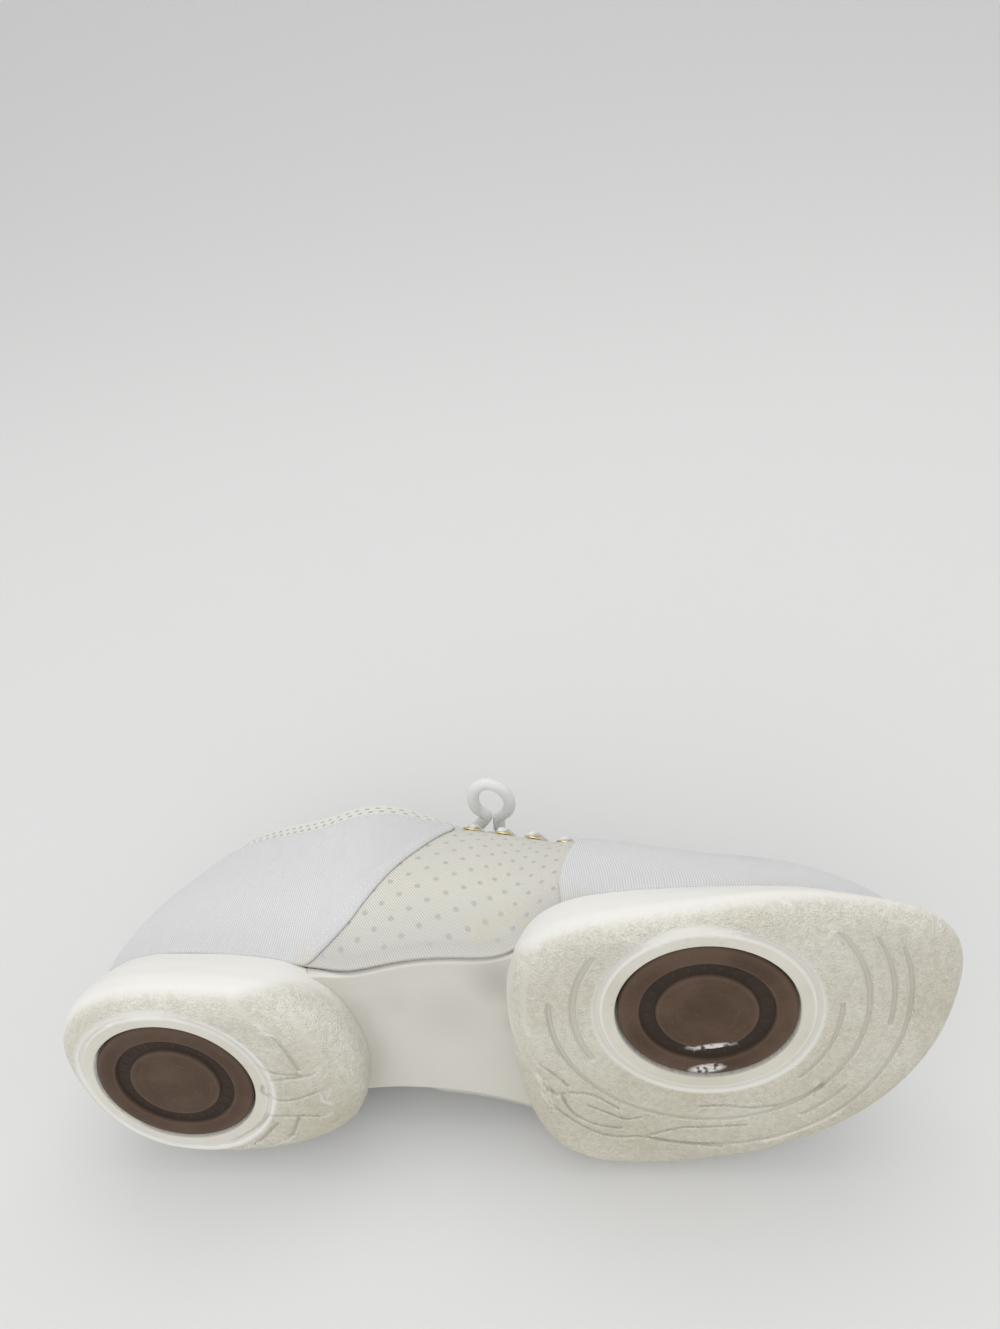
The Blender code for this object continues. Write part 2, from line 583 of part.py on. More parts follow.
def make_upper(last, material, parts):
    """Upper: the open rib surface, given its wall inwards, open at collar, throat and sole."""
    ribs = last.ribs_evenly(AROUND)
    heights = np.linspace(0, 1, UP_THE_RIB + 1)
    rib, up = np.meshgrid(ribs, heights)
    points = last.point(rib, up)
    shape = bmesh.new()
    rows = [[shape.verts.new(p) for p in row] for row in points]
    grid_faces(shape, rows, closed=True)
    bmesh.ops.reverse_faces(shape, faces=shape.faces)
    upper = add_object("upper", mesh_from_bmesh("upper", shape, 60), material, parts)
    solid = upper.modifiers.new("wall", "SOLIDIFY")
    solid.thickness = UPPER_WALL
    solid.offset = -1
    solid.use_even_offset = True
    return upper


def make_panel(name, last, table, material, parts):
    """Panel that lies on the upper, between two offsets of the upper's own facets."""
    panel = rows_to_columns(table, PANEL_COLUMNS)
    rib = last.columns_between(panel["rib"])
    low = np.interp(rib, panel["rib"], panel["low"])
    high = np.interp(rib, panel["rib"], panel["high"])
    lines = np.arange(UP_THE_RIB + 1) / UP_THE_RIB
    up = np.clip(lines[:, None], low, high)
    rib = np.broadcast_to(rib, up.shape)
    near = last.faceted(rib, up, PANEL_GAP)
    far = last.faceted(rib, up, PANEL_GAP + PANEL_THICKNESS)
    for side in (near, far):
        side[..., 2] += np.maximum(0, sole_top(side[..., 0]) + SEAT_GAP - side[..., 2])
    return add_object(name, slab_mesh(name, near, far), material, parts)


def make_insole(last, material, parts):
    """Insole: the feather edge's outline, pulled in past the wall, on the sole's top."""
    count = 48
    ribs = last.ribs_evenly(count)
    foot = last.point(ribs, np.zeros(count))[:, :2]
    outward = turn_outward(foot)
    above = last.point(ribs, np.full(count, 0.06))[:, :2]
    leaning = np.minimum(0, np.einsum("ij,ij->i", above - foot, outward))
    shape = bmesh.new()
    rings = []
    for inset, lift in ((0.0, 0.0), (0.0, 0.7 * INSOLE_THICKNESS),
                        (0.3 * INSOLE_THICKNESS, INSOLE_THICKNESS)):
        inwards = UPPER_WALL + INSOLE_CLEARANCE + inset - leaning
        plan = foot - outward * inwards[:, None]
        z = sole_top(plan[:, 0]) + INSOLE_LIFT + lift
        rings.append([shape.verts.new((*p, q)) for p, q in zip(plan, z)])
    grid_faces(shape, rings, closed=True)
    for ring in (rings[0], rings[-1]):
        half = len(ring) // 2
        grid_faces(shape, [ring[:half + 1], [ring[0]] + ring[:half - 1:-1]])
    bmesh.ops.recalc_face_normals(shape, faces=shape.faces)
    return add_object("insole", mesh_from_bmesh("insole", shape), material, parts)


LATERAL_TOP_RIB, LATERAL_FRONT_RIB = 5.0, 9.6
MEDIAL_TOP_RIB, MEDIAL_FRONT_RIB = 21.0, 16.4


def make_tongue(last, material, parts):
    """Tongue: a sheet just inside the upper, bridging the throat and rising past its top."""
    deep = UPPER_WALL + TONGUE_CLEARANCE
    rows = []
    front = ((9.9, 0.86), (10.9, 0.91), (12.0, 0.93), (13.0, 0.93), (14.1, 0.93), (15.1, 0.91),
             (16.1, 0.86))
    rows.append(last.faceted(np.array([r for r, _ in front]), np.array([u for _, u in front]),
                             -deep - TONGUE_TUCK))
    for share in np.linspace(0, 1, 8):
        lateral = LATERAL_FRONT_RIB + (LATERAL_TOP_RIB - LATERAL_FRONT_RIB) * share
        medial = MEDIAL_FRONT_RIB + (MEDIAL_TOP_RIB - MEDIAL_FRONT_RIB) * share
        under = 0.86
        ups = (under, 0.93, 1.0)
        left = [last.faceted(lateral, u, -deep) for u in ups]
        right = [last.faceted(medial, u, -deep) for u in reversed(ups)]
        middle = (left[-1] + right[0]) / 2
        middle[2] += 1.2 * MM
        rows.append(np.array(left + [middle] + right))
    lean = rows[-1] - rows[-2]
    lean = lean.mean(axis=0)
    lean /= np.linalg.norm(lean)
    for share in (0.5, 1.0):
        row = rows[8] + lean * TONGUE_RISE * share
        row[:, 1] = row[3, 1] + (rows[8][:, 1] - rows[8][3, 1]) * (1 - 0.10 * share)
        rows.append(row)
    near = np.array(rows)
    normal = np.cross(np.gradient(near, axis=0), np.gradient(near, axis=1))
    normal /= np.linalg.norm(normal, axis=-1)[..., None]
    if normal[..., 2].mean() > 0:
        normal = -normal
    far = near + normal * TONGUE_THICKNESS
    return add_object("tongue", slab_mesh("tongue", near, far), material, parts)


def eyelet_places(last):
    """Rib and height up the rib of each eyelet, front pair first."""
    places = {}
    for side, front, top in (("lateral", LATERAL_FRONT_RIB - 0.5, LATERAL_TOP_RIB + 0.65),
                             ("medial", MEDIAL_FRONT_RIB + 0.5, MEDIAL_TOP_RIB - 0.65)):
        for k in range(EYELET_PAIRS):
            rib = front + (top - front) * k / (EYELET_PAIRS - 1)
            up = last.up_from_crown(rib, EYELET_INSET)
            places[side, k] = (rib, up)
    return places


def make_eyelets(last, upper, material, parts, cutters):
    """Turned eyelets through holes in the upper's wall."""
    barrel = EYELET_HOLE_RADIUS + EYELET_BARREL_WALL
    flange = MEET_GAP
    top = flange + EYELET_FLANGE_THICKNESS
    tail = -UPPER_WALL
    profile = ((EYELET_HOLE_RADIUS, top), (EYELET_FLANGE_RADIUS - 0.3 * MM, top),
               (EYELET_FLANGE_RADIUS, flange), (barrel, flange), (barrel, tail),
               (EYELET_HOLE_RADIUS, tail))
    holes = bmesh.new()
    for (side, k), (rib, up) in eyelet_places(last).items():
        place, normal = last.point(rib, up), last.normal(rib, up)
        turn = Vector(normal).to_track_quat("Z", "Y")
        eyelet = turned_object(f"eyelet_{side}_{k + 1}", profile, 8, material, parts)
        eyelet.location = Vector(place)
        eyelet.rotation_mode = "QUATERNION"
        eyelet.rotation_quaternion = turn
        matrix = Matrix.Translation(Vector(place)) @ turn.to_matrix().to_4x4()
        bmesh.ops.create_cone(holes, cap_ends=True, segments=8, radius1=barrel + 1.5 * MEET_GAP,
                              radius2=barrel + 1.5 * MEET_GAP, depth=8 * MM, matrix=matrix)
    cutter = add_object("eyelet_holes_cutter", mesh_from_bmesh("eyelet_holes", holes), None,
                        cutters)
    hide_cutter(cutter)
    apply_boolean(upper, cutter)


def smooth_route(points, count):
    """Catmull-Rom curve through route points, read at count places."""
    points = np.asarray(points, float)
    padded = np.vstack([2 * points[0] - points[1], points, 2 * points[-1] - points[-2]])
    place = np.linspace(0, len(points) - 1 - 1e-9, count)
    i = place.astype(int)
    t = (place - i)[:, None]
    a, b, c, d = (padded[i + k] for k in range(4))
    return 0.5 * (2 * b + (c - a) * t + (2 * a - 5 * b + 4 * c - d) * t ** 2
                  + (3 * b - a - 3 * c + d) * t ** 3)


def tube_object(name, routes, diameter, material, parts):
    """Tube along one or more routes, with filled ends."""
    curve = bpy.data.curves.new(name, "CURVE")
    curve.dimensions = "3D"
    curve.bevel_depth = diameter / 2
    curve.bevel_resolution = 2
    curve.use_fill_caps = True
    for route in routes:
        spline = curve.splines.new("POLY")
        spline.points.add(len(route) - 1)
        for point, place in zip(spline.points, route):
            point.co = (*place, 1)
    tube = bpy.data.objects.new(name, curve)
    curve.materials.append(material)
    parts.objects.link(tube)
    return tube


def meshed_tube(name, route, material):
    """Mesh of a tube along a route, with its seams merged, ready for a Boolean."""
    holder = bpy.data.collections.new(name)
    bpy.context.scene.collection.children.link(holder)
    tube = tube_object(name, [route], LACE_DIAMETER, material, holder)
    bpy.context.view_layer.update()
    graph = bpy.context.evaluated_depsgraph_get()
    mesh = bpy.data.meshes.new_from_object(tube.evaluated_get(graph))
    bpy.data.objects.remove(tube)
    bpy.data.collections.remove(holder)
    shape = bmesh.new()
    shape.from_mesh(mesh)
    bmesh.ops.remove_doubles(shape, verts=shape.verts, dist=0.00002)
    shape.to_mesh(mesh)
    shape.free()
    mesh.shade_smooth()
    return mesh


def make_lace(last, materials, parts, cutters):
    """Lace crossings over the throat, and the bow: its knot, two loops and two tipped ends."""
    places = eyelet_places(last)
    lift = MEET_GAP + EYELET_FLANGE_THICKNESS + LACE_CLEARANCE + LACE_DIAMETER / 2
    ends = {key: last.offset(rib, up, lift) for key, (rib, up) in places.items()}
    edges = {key: last.offset(rib, 1.0, lift) for key, (rib, up) in places.items()}
    final = EYELET_PAIRS - 1
    first_order = [("medial", 0)] + [(("lateral", "medial")[k % 2], k) for k in range(EYELET_PAIRS)]
    first_order.append((("medial", "lateral")[final % 2], final))
    second_order = [(("medial", "lateral")[k % 2], k) for k in range(EYELET_PAIRS)]
    crossings = []
    for order in (first_order, second_order):
        route = []
        for start, end in zip(order[:-1], order[1:]):
            leave = edges[start] + (edges[end] - edges[start]) * LACE_TURN
            arrive = edges[end] + (edges[start] - edges[end]) * LACE_TURN
            middle = (leave + arrive) / 2 + np.array([0, 0, LACE_SAG])
            route += [ends[start], leave, middle, arrive]
        route.append(ends[order[-1]])
        crossings.append(smooth_route(route, round(1.5 * len(route))))
    first, second = (meshed_tube(f"lace_crossings_{k}", route, materials["lace"])
                     for k, route in enumerate(crossings))
    lacing = add_object("lace_crossings", first, None, parts)
    cutter = add_object("lace_crossings_cutter", second, None, cutters)
    hide_cutter(cutter)
    apply_boolean(lacing, cutter, "UNION")

    top_bar = (edges["lateral", final] + edges["medial", final]) / 2
    knot_place = Vector(top_bar) + Vector((0, 0, LACE_DIAMETER / 2 + MEET_GAP + LACE_SAG
                                            + KNOT_SHAPE[2] * KNOT_RADIUS))
    shape = bmesh.new()
    bmesh.ops.create_uvsphere(shape, u_segments=10, v_segments=7, radius=KNOT_RADIUS)
    for vert in shape.verts:
        vert.co *= Vector(KNOT_SHAPE)
    knot = add_object("lace_knot", mesh_from_bmesh("lace_knot", shape), materials["lace"], parts)
    knot.location = knot_place

    hanging = {"lace_loop_lateral": LATERAL_LOOP, "lace_end_front": FRONT_END,
               "lace_end_back": BACK_END}
    routes = {"lace_loop_medial": [np.array(knot_place) + np.array(step) * LOOP_REACH
                                   for step in MEDIAL_LOOP]}
    for name, table in hanging.items():
        routes[name] = [last.offset(rib, up, lift * LACE_DIAMETER) for rib, up, lift in table]
    for name, route in routes.items():
        leave, arrive = KNOT_EXITS[name]
        route = exit_points(knot_place, leave) + route
        if arrive is not None:
            route += exit_points(knot_place, arrive)[::-1]
        route = smooth_route(route, 2 * len(route) - 1)
        tube_object(name, [route], LACE_DIAMETER, materials["lace"], parts)
        if arrive is None:
            add_tip(name.replace("lace_end", "aglet"), route, materials["gold"], parts)


def exit_points(knot_place, angle):
    """Two points of a lace where it comes out of the knot at a plan angle in degrees."""
    way = np.array([math.cos(math.radians(angle)), math.sin(math.radians(angle)), 0.0])
    surface = 1 / np.linalg.norm(way / (KNOT_RADIUS * np.array(KNOT_SHAPE)))
    start = surface + 3 * MEET_GAP
    return [np.array(knot_place) + way * start,
            np.array(knot_place) + way * (start + 0.9 * LACE_DIAMETER)]


def add_tip(name, route, material, parts):
    """Tip on the end of a lace, in line with it."""
    direction = Vector(route[-1] - route[-2]).normalized()
    shape = bmesh.new()
    bmesh.ops.create_cone(shape, cap_ends=True, segments=10, radius1=AGLET_DIAMETER / 2,
                          radius2=AGLET_DIAMETER / 2, depth=AGLET_LENGTH)
    tip = add_object(name, mesh_from_bmesh(name, shape), material, parts)
    tip.location = Vector(route[-1]) + direction * (AGLET_LENGTH / 2 + MEET_GAP)
    tip.rotation_mode = "QUATERNION"
    tip.rotation_quaternion = direction.to_track_quat("Z", "Y")


CORD_NODES = ("lace_knot", "lace_loop_medial", "lace_loop_lateral", "lace_end_front",
              "lace_end_back", "aglet_front", "aglet_back")
NODE_DENSITY = {"heel_sole": "foam", "forefoot_sole": "foam", "arch_plate": "rubber",
                "pivot_disc_heel": "plastic", "pivot_disc_forefoot": "plastic"}


def solid_points(thing, graph):
    """World points, volume and centroid of an object's evaluated mesh."""
    evaluated = thing.evaluated_get(graph)
    mesh = evaluated.to_mesh()
    mesh.calc_loop_triangles()
    matrix = np.array(thing.matrix_world)
    points = np.array([v.co for v in mesh.vertices], float)
    points = points @ matrix[:3, :3].T + matrix[:3, 3]
    corners = points[np.array([t.vertices for t in mesh.loop_triangles])]
    signed = np.einsum("ij,ij->i", corners[:, 0], np.cross(corners[:, 1], corners[:, 2])) / 6
    middle = (corners.sum(axis=1) / 4 * signed[:, None]).sum(axis=0)
    evaluated.to_mesh_clear()
    return points, signed.sum(), middle


def resting_face(points, centre_of_mass):
    """Outward normal of the convex hull's face, nearest the lateral side, that holds the weight."""
    shape = bmesh.new()
    for point in points:
        shape.verts.new(point)
    hull = bmesh.ops.convex_hull(shape, input=shape.verts)
    faces = [f for f in hull["geom"] if isinstance(f, bmesh.types.BMFace)]
    best = None
    for face in faces:
        normal = face.normal.normalized()
        if normal.dot(face.calc_center_median() - Vector(centre_of_mass)) < 0:
            normal = -normal
        if normal.y < 0.6:
            continue
        corners = [v.co for v in face.verts]
        drop = normal.dot(corners[0] - Vector(centre_of_mass))
        foot = Vector(centre_of_mass) + normal * drop
        sides = [(corners[(k + 1) % len(corners)] - c).cross(foot - c).dot(normal)
                 for k, c in enumerate(corners)]
        if min(sides) >= 0 or max(sides) <= 0:
            if best is None or normal.y > best.y:
                best = normal
    shape.free()
    return best


def lay_down(parts, cutters):
    """Hangs every piece from an empty that lays the shoe on its side, centred on its footprint."""
    bpy.context.view_layer.update()
    graph = bpy.context.evaluated_depsgraph_get()
    clouds, weight, moment = [], 0.0, np.zeros(3)
    for thing in parts.objects:
        if thing.name in CORD_NODES:
            continue
        points, volume, middle = solid_points(thing, graph)
        kind = "metal" if thing.name.startswith("eyelet") else NODE_DENSITY.get(thing.name, "cloth")
        clouds.append(points)
        weight += DENSITIES[kind] * volume
        moment += DENSITIES[kind] * middle
    cloud = np.vstack(clouds)
    down = resting_face(cloud, moment / weight)
    up = -down
    forward = (Vector((1, 0, 0)) - up * up.x).normalized()
    across = up.cross(forward)
    turn = Matrix((forward, across, up))
    turned = cloud @ np.array(turn).T
    low, high = turned.min(axis=0), turned.max(axis=0)
    move = Vector((-(low[0] + high[0]) / 2, -(low[1] + high[1]) / 2, -low[2]))
    stand = bpy.data.objects.new("lying_shoe", None)
    bpy.context.scene.collection.objects.link(stand)
    stand.matrix_world = Matrix.Translation(move) @ turn.to_4x4()
    for thing in [*parts.objects, *cutters.objects]:
        thing.parent = stand
    return stand


def main():
    clear_scene()
    parts = new_collection("dance_sneaker")
    cutters = new_collection("cutters")
    materials = {
        "foam": make_material("cream_foam", (0.78, 0.76, 0.68), 0.6),
        "rubber": make_material("cream_rubber", (0.74, 0.72, 0.66), 0.45),
        "disc": make_material("brown_disc", (0.10, 0.07, 0.05), 0.5),
        "mesh": make_material("cream_mesh", (0.80, 0.79, 0.70), 0.9),
        "canvas": make_material("white_canvas", (0.80, 0.81, 0.83), 0.9),
        "lining": make_material("white_lining", (0.82, 0.82, 0.80), 0.95),
        "lace": make_material("white_lace", (0.85, 0.85, 0.84), 0.9),
        "gold": make_material("gold_metal", (0.80, 0.62, 0.25), 0.3, 1.0),
    }
    last = Last()
    make_pads(materials, parts, cutters)
    make_discs(materials["disc"], parts)
    make_arch(last, materials["rubber"], parts)
    upper = make_upper(last, materials["mesh"], parts)
    make_panel("heel_panel", last, HEEL_PANEL, materials["canvas"], parts)
    make_panel("toe_panel", last, TOE_PANEL, materials["canvas"], parts)
    make_insole(last, materials["lining"], parts)
    make_tongue(last, materials["mesh"], parts)
    make_eyelets(last, upper, materials["gold"], parts, cutters)
    make_lace(last, materials, parts, cutters)
    lay_down(parts, cutters)


main()
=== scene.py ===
import json
import math

import bpy
import numpy as np
from mathutils import Matrix, Vector


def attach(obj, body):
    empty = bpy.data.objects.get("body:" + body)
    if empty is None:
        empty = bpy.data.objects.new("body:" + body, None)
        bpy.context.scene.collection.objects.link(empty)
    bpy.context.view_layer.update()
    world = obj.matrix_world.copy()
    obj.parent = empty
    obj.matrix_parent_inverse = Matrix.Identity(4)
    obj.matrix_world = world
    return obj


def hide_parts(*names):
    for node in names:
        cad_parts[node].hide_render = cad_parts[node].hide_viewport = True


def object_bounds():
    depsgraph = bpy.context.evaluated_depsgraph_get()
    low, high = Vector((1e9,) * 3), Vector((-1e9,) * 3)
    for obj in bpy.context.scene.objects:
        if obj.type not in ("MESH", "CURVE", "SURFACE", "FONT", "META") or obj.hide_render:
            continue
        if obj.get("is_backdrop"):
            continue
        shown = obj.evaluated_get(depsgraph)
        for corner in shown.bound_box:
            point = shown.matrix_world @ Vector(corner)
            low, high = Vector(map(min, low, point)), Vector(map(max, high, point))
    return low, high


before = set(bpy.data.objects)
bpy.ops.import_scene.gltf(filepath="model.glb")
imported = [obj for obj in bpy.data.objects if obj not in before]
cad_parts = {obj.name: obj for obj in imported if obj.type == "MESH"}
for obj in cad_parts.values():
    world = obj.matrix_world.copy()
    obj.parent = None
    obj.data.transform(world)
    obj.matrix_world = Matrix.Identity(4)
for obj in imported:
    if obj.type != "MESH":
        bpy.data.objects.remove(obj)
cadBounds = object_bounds()

mm = 0.001

# The shoe is drawn upright (x heel to toe, y to the lateral side, z up), then laid on its side
lay = {
    "turn": ((0.9869585, 0.1580221, 0.0306913),
             (0.0, -0.1906592, 0.9816564),
             (0.160975, -0.9688541, -0.1881727)),
    "move": (-0.1387858, -0.047592, 0.0391963),
}
layTurn = np.array(lay["turn"])
layMove = np.array(lay["move"])


def toWorld(points):
    # Upright shoe's points turned on their side and moved to the frame's place
    return np.asarray(points) @ layTurn.T + layMove


def unit(vectors):
    # Vectors divided by their own lengths
    vectors = np.asarray(vectors, float)
    return vectors / np.linalg.norm(vectors, axis=-1, keepdims=True)


def lengthAlong(line):
    # Running length of a line of points, from 0 at the first
    return np.concatenate([[0], np.cumsum(np.linalg.norm(np.diff(line, axis=0), axis=1))])


def closedKnots(corners):
    # Running length round a closed loop, back to its first corner
    return lengthAlong(np.vstack([corners, corners[:1]]))


def evenAngles(count):
    # Full turn in equal steps, without the last
    return np.arange(count) * 2 * math.pi / count


# Camera, in the shoe's own frame: where it stands and the ways that are right and up in the picture
camera = {"lens": 25.73, "sensor": 36,
          "place": (0.22716, -0.22384, -0.19736),
          "right": (0.95935, 0.27219, 0.07889),
          "up": (0.20505, -0.85659, 0.47498)}


def makeCamera():
    # Up is made square to right, and the camera looks against the cross product of both
    right = unit(camera["right"])
    up = np.array(camera["up"])
    up = unit(up - right * (up @ right))
    back = np.cross(right, up)
    data = bpy.data.cameras.new("camera")
    data.lens = camera["lens"]
    data.sensor_width = camera["sensor"]
    data.sensor_fit = "AUTO"
    data.clip_start = 0.01
    data.clip_end = 20
    seen = bpy.data.objects.new("camera", data)
    matrix = np.eye(4)
    matrix[:3, :3] = layTurn @ np.column_stack([right, up, back])
    matrix[:3, 3] = toWorld(camera["place"])
    seen.matrix_world = Matrix(matrix.tolist())
    bpy.context.scene.collection.objects.link(seen)
    bpy.context.scene.camera = seen


makeCamera()
print("camera set")

# Sizes that the looks share with the solids
sole = {"length": 280 * mm, "width": 106 * mm, "collar": 91 * mm, "stack": 24 * mm,
        "spring": 7 * mm, "bevel": 3 * mm, "round": 9 * mm, "seat": 0.9 * mm}
disc = {"radius": 26 * mm, "clearance": 0.7 * mm, "heelX": 37 * mm, "forefootX": 210 * mm,
        "recess": 0.4 * mm, "thickness": 4 * mm}
cloth = {"wall": 2.0 * mm, "panelGap": 0.45 * mm, "panel": 0.9 * mm}

# Ribs of the upper: foot along and across, crown along, across and up, flank out and up, crown out
# and down; shares of the sole's length, its width and the collar's height
ribs = (
    (0.014, 0.000, 0.071, 0.010, 1.010, 0.06, 0.24, 0.13, 0.24),
    (0.046, 0.226, 0.096, 0.155, 1.005, 0.06, 0.24, 0.10, 0.24),
    (0.136, 0.325, 0.170, 0.265, 0.975, 0.05, 0.26, 0.06, 0.24),
    (0.250, 0.335, 0.265, 0.290, 0.950, 0.05, 0.24, 0.05, 0.22),
    (0.350, 0.325, 0.360, 0.250, 1.010, 0.08, 0.24, 0.08, 0.22),
    (0.420, 0.360, 0.430, 0.160, 1.125, 0.09, 0.24, 0.14, 0.18),
    (0.485, 0.430, 0.493, 0.155, 1.002, 0.07, 0.22, 0.20, 0.14),
    (0.540, 0.515, 0.546, 0.145, 0.935, 0.05, 0.20, 0.26, 0.12),
    (0.600, 0.580, 0.597, 0.130, 0.865, 0.03, 0.18, 0.32, 0.10),
    (0.680, 0.610, 0.640, 0.115, 0.805, 0.02, 0.17, 0.36, 0.09),
    (0.768, 0.595, 0.668, 0.085, 0.740, 0.02, 0.17, 0.38, 0.10),
    (0.858, 0.510, 0.680, 0.060, 0.720, 0.02, 0.18, 0.40, 0.12),
    (0.938, 0.320, 0.684, 0.047, 0.715, 0.02, 0.19, 0.42, 0.15),
    (0.979, 0.070, 0.686, 0.038, 0.715, 0.02, 0.18, 0.44, 0.18),
    (0.953, -0.112, 0.684, 0.028, 0.715, 0.02, 0.16, 0.42, 0.20),
    (0.885, -0.222, 0.680, 0.014, 0.720, 0.02, 0.16, 0.35, 0.19),
    (0.786, -0.293, 0.668, -0.010, 0.740, 0.02, 0.18, 0.27, 0.13),
    (0.686, -0.318, 0.640, -0.038, 0.805, 0.02, 0.21, 0.22, 0.08),
    (0.600, -0.240, 0.597, -0.057, 0.865, 0.05, 0.25, 0.20, 0.06),
    (0.540, -0.165, 0.546, -0.070, 0.935, 0.09, 0.27, 0.19, 0.08),
    (0.483, -0.182, 0.493, -0.080, 1.002, 0.12, 0.28, 0.18, 0.12),
    (0.420, -0.192, 0.430, -0.090, 1.125, 0.13, 0.27, 0.16, 0.18),
    (0.354, -0.180, 0.360, -0.238, 1.085, 0.13, 0.26, 0.09, 0.24),
    (0.280, -0.230, 0.285, -0.280, 1.010, 0.09, 0.25, 0.05, 0.24),
    (0.196, -0.300, 0.215, -0.281, 0.990, 0.05, 0.25, 0.05, 0.24),
    (0.118, -0.318, 0.147, -0.230, 1.005, 0.03, 0.24, 0.07, 0.24),
    (0.046, -0.230, 0.096, -0.130, 1.010, 0.04, 0.24, 0.10, 0.24),
)

# Height of the sole's top: share of the length, share of the stack
soleTopTable = ((-0.05, 1.00), (0.14, 0.98), (0.29, 0.91), (0.38, 0.84), (0.45, 0.81),
                (0.54, 0.79), (0.64, 0.77), (0.72, 0.73), (0.80, 0.67), (0.90, 0.61), (0.97, 0.63),
                (1.05, 0.70))


def closedSpline(knots, values, where):
    # Periodic cubic through values at knots, read at where
    values = np.asarray(values, float)
    count = len(values)
    step = np.diff(knots)
    matrix = np.zeros((count, count))
    right = np.zeros((count,) + values.shape[1:])
    for i in range(count):
        before, after = (i - 1) % count, (i + 1) % count
        matrix[i, before] += step[before]
        matrix[i, i] += 2 * (step[before] + step[i])
        matrix[i, after] += step[i]
        right[i] = 6 * ((values[after] - values[i]) / step[i]
                        - (values[i] - values[before]) / step[before])
    bend = np.linalg.solve(matrix, right.reshape(count, -1)).reshape(right.shape)
    period = knots[-1] - knots[0]
    place = np.mod(np.asarray(where, float) - knots[0], period) + knots[0]
    i = np.clip(np.searchsorted(knots, place, side="right") - 1, 0, count - 1)
    j = (i + 1) % count
    shape = place.shape + (1,) * (values.ndim - 1)
    h = step[i].reshape(shape)
    a = (np.asarray(knots)[i + 1] - place).reshape(shape) / h
    b = 1 - a
    return (a * values[i] + b * values[j]
            + ((a ** 3 - a) * bend[i] + (b ** 3 - b) * bend[j]) * h * h / 6)


def turnOutward(loop):
    # Unit vectors square to a flat closed loop; the sign of its area tells which way is out
    along = np.roll(loop, -1, axis=0) - np.roll(loop, 1, axis=0)
    normal = unit(np.column_stack([along[:, 1], -along[:, 0]]))
    area = np.sum(loop[:, 0] * np.roll(loop[:, 1], -1) - loop[:, 1] * np.roll(loop[:, 0], -1))
    return normal if area > 0 else -normal


def soleTop(x):
    # Height of the pads' upper face, in straight lines between the table's rows
    table = np.array(soleTopTable)
    return np.interp(np.asarray(x) / sole["length"], table[:, 0], table[:, 1]) * sole["stack"]


def soleBottom(x):
    # The tread rises towards the toe as a power curve and towards the heel's edge as a parabola
    spring = sole["spring"] * np.clip((x / sole["length"] - 0.80) / 0.20, 0, 1.2) ** 1.8
    bevel = sole["bevel"] * np.clip(1 - x / sole["length"] / 0.09, 0, 1.2) ** 2
    return spring + bevel


def smoothStep(low, high, value):
    # 0 below low, 1 above high, and 3t² − 2t³ between
    t = np.clip((value - low) / (high - low), 0, 1)
    return t * t * (3 - 2 * t)


class Last:
    # The upper's outer surface, read by rib number and by height up the rib from 0 to 1

    def __init__(self):
        # Each rib is a cubic curve with four controls: foot, flank, brow and crown
        rib = np.array(ribs)
        foot = rib[:, 0:2] * (sole["length"], sole["width"])
        crown = rib[:, 2:4] * (sole["length"], sole["width"])
        crownZ = rib[:, 4] * sole["collar"]
        footZ = soleTop(foot[:, 0]) + sole["seat"]
        out = turnOutward(foot)
        handles = rib[:, 5:9] * sole["collar"]
        flank = np.column_stack([foot + out * handles[:, :1], footZ + handles[:, 1]])
        brow = np.column_stack([crown + out * handles[:, 2:3], crownZ - handles[:, 3]])
        self.count = len(rib)
        self.knots = closedKnots(foot)
        self.controls = np.stack([np.column_stack([foot, footZ]), flank, brow,
                                  np.column_stack([crown, crownZ])], axis=1)

    def knot(self, rib):
        # Running length round the foot at a rib number
        rib = np.mod(np.asarray(rib, float), self.count)
        return np.interp(rib, np.arange(self.count + 1), self.knots)

    def ribsEvenly(self, count):
        # Rib numbers at even steps round the foot
        places = np.arange(count) * self.knots[-1] / count
        return np.interp(places, self.knots, np.arange(self.count + 1))

    def bare(self, rib, up):
        # The controls follow a closed spline round the foot, and are weighted by the powers of up
        # and of what is left above it
        c = closedSpline(self.knots, self.controls, self.knot(rib))
        up = np.asarray(up, float)[..., None]
        down = 1 - up
        return (down ** 3 * c[..., 0, :] + 3 * down ** 2 * up * c[..., 1, :]
                + 3 * down * up ** 2 * c[..., 2, :] + up ** 3 * c[..., 3, :])

    def normal(self, rib, up):
        # Cross product of two small steps, up the rib and round the foot
        small = 1e-3
        rib, up = np.asarray(rib, float), np.asarray(up, float)
        low, high = np.clip(up - small, 0, 1), np.clip(up + small, 0, 1)
        across = self.bare(rib + small, up) - self.bare(rib - small, up)
        along = self.bare(rib, high) - self.bare(rib, low)
        return unit(np.cross(along, across))

    def offset(self, rib, up, distance):
        # The surface with its creases, moved out along its normal
        rib, up = np.broadcast_arrays(np.asarray(rib, float), np.asarray(up, float))
        distance = np.asarray(distance, float) + creaseDepth(rib, up)
        return self.bare(rib, up) + self.normal(rib, up) * distance[..., None]

    def upFromCrown(self, rib, distance):
        # Height up the rib at a distance walked down from its crown
        share = np.linspace(1, 0.5, 60)
        line = self.bare(np.full(60, float(rib)), share)
        return float(np.interp(distance, lengthAlong(line), share))


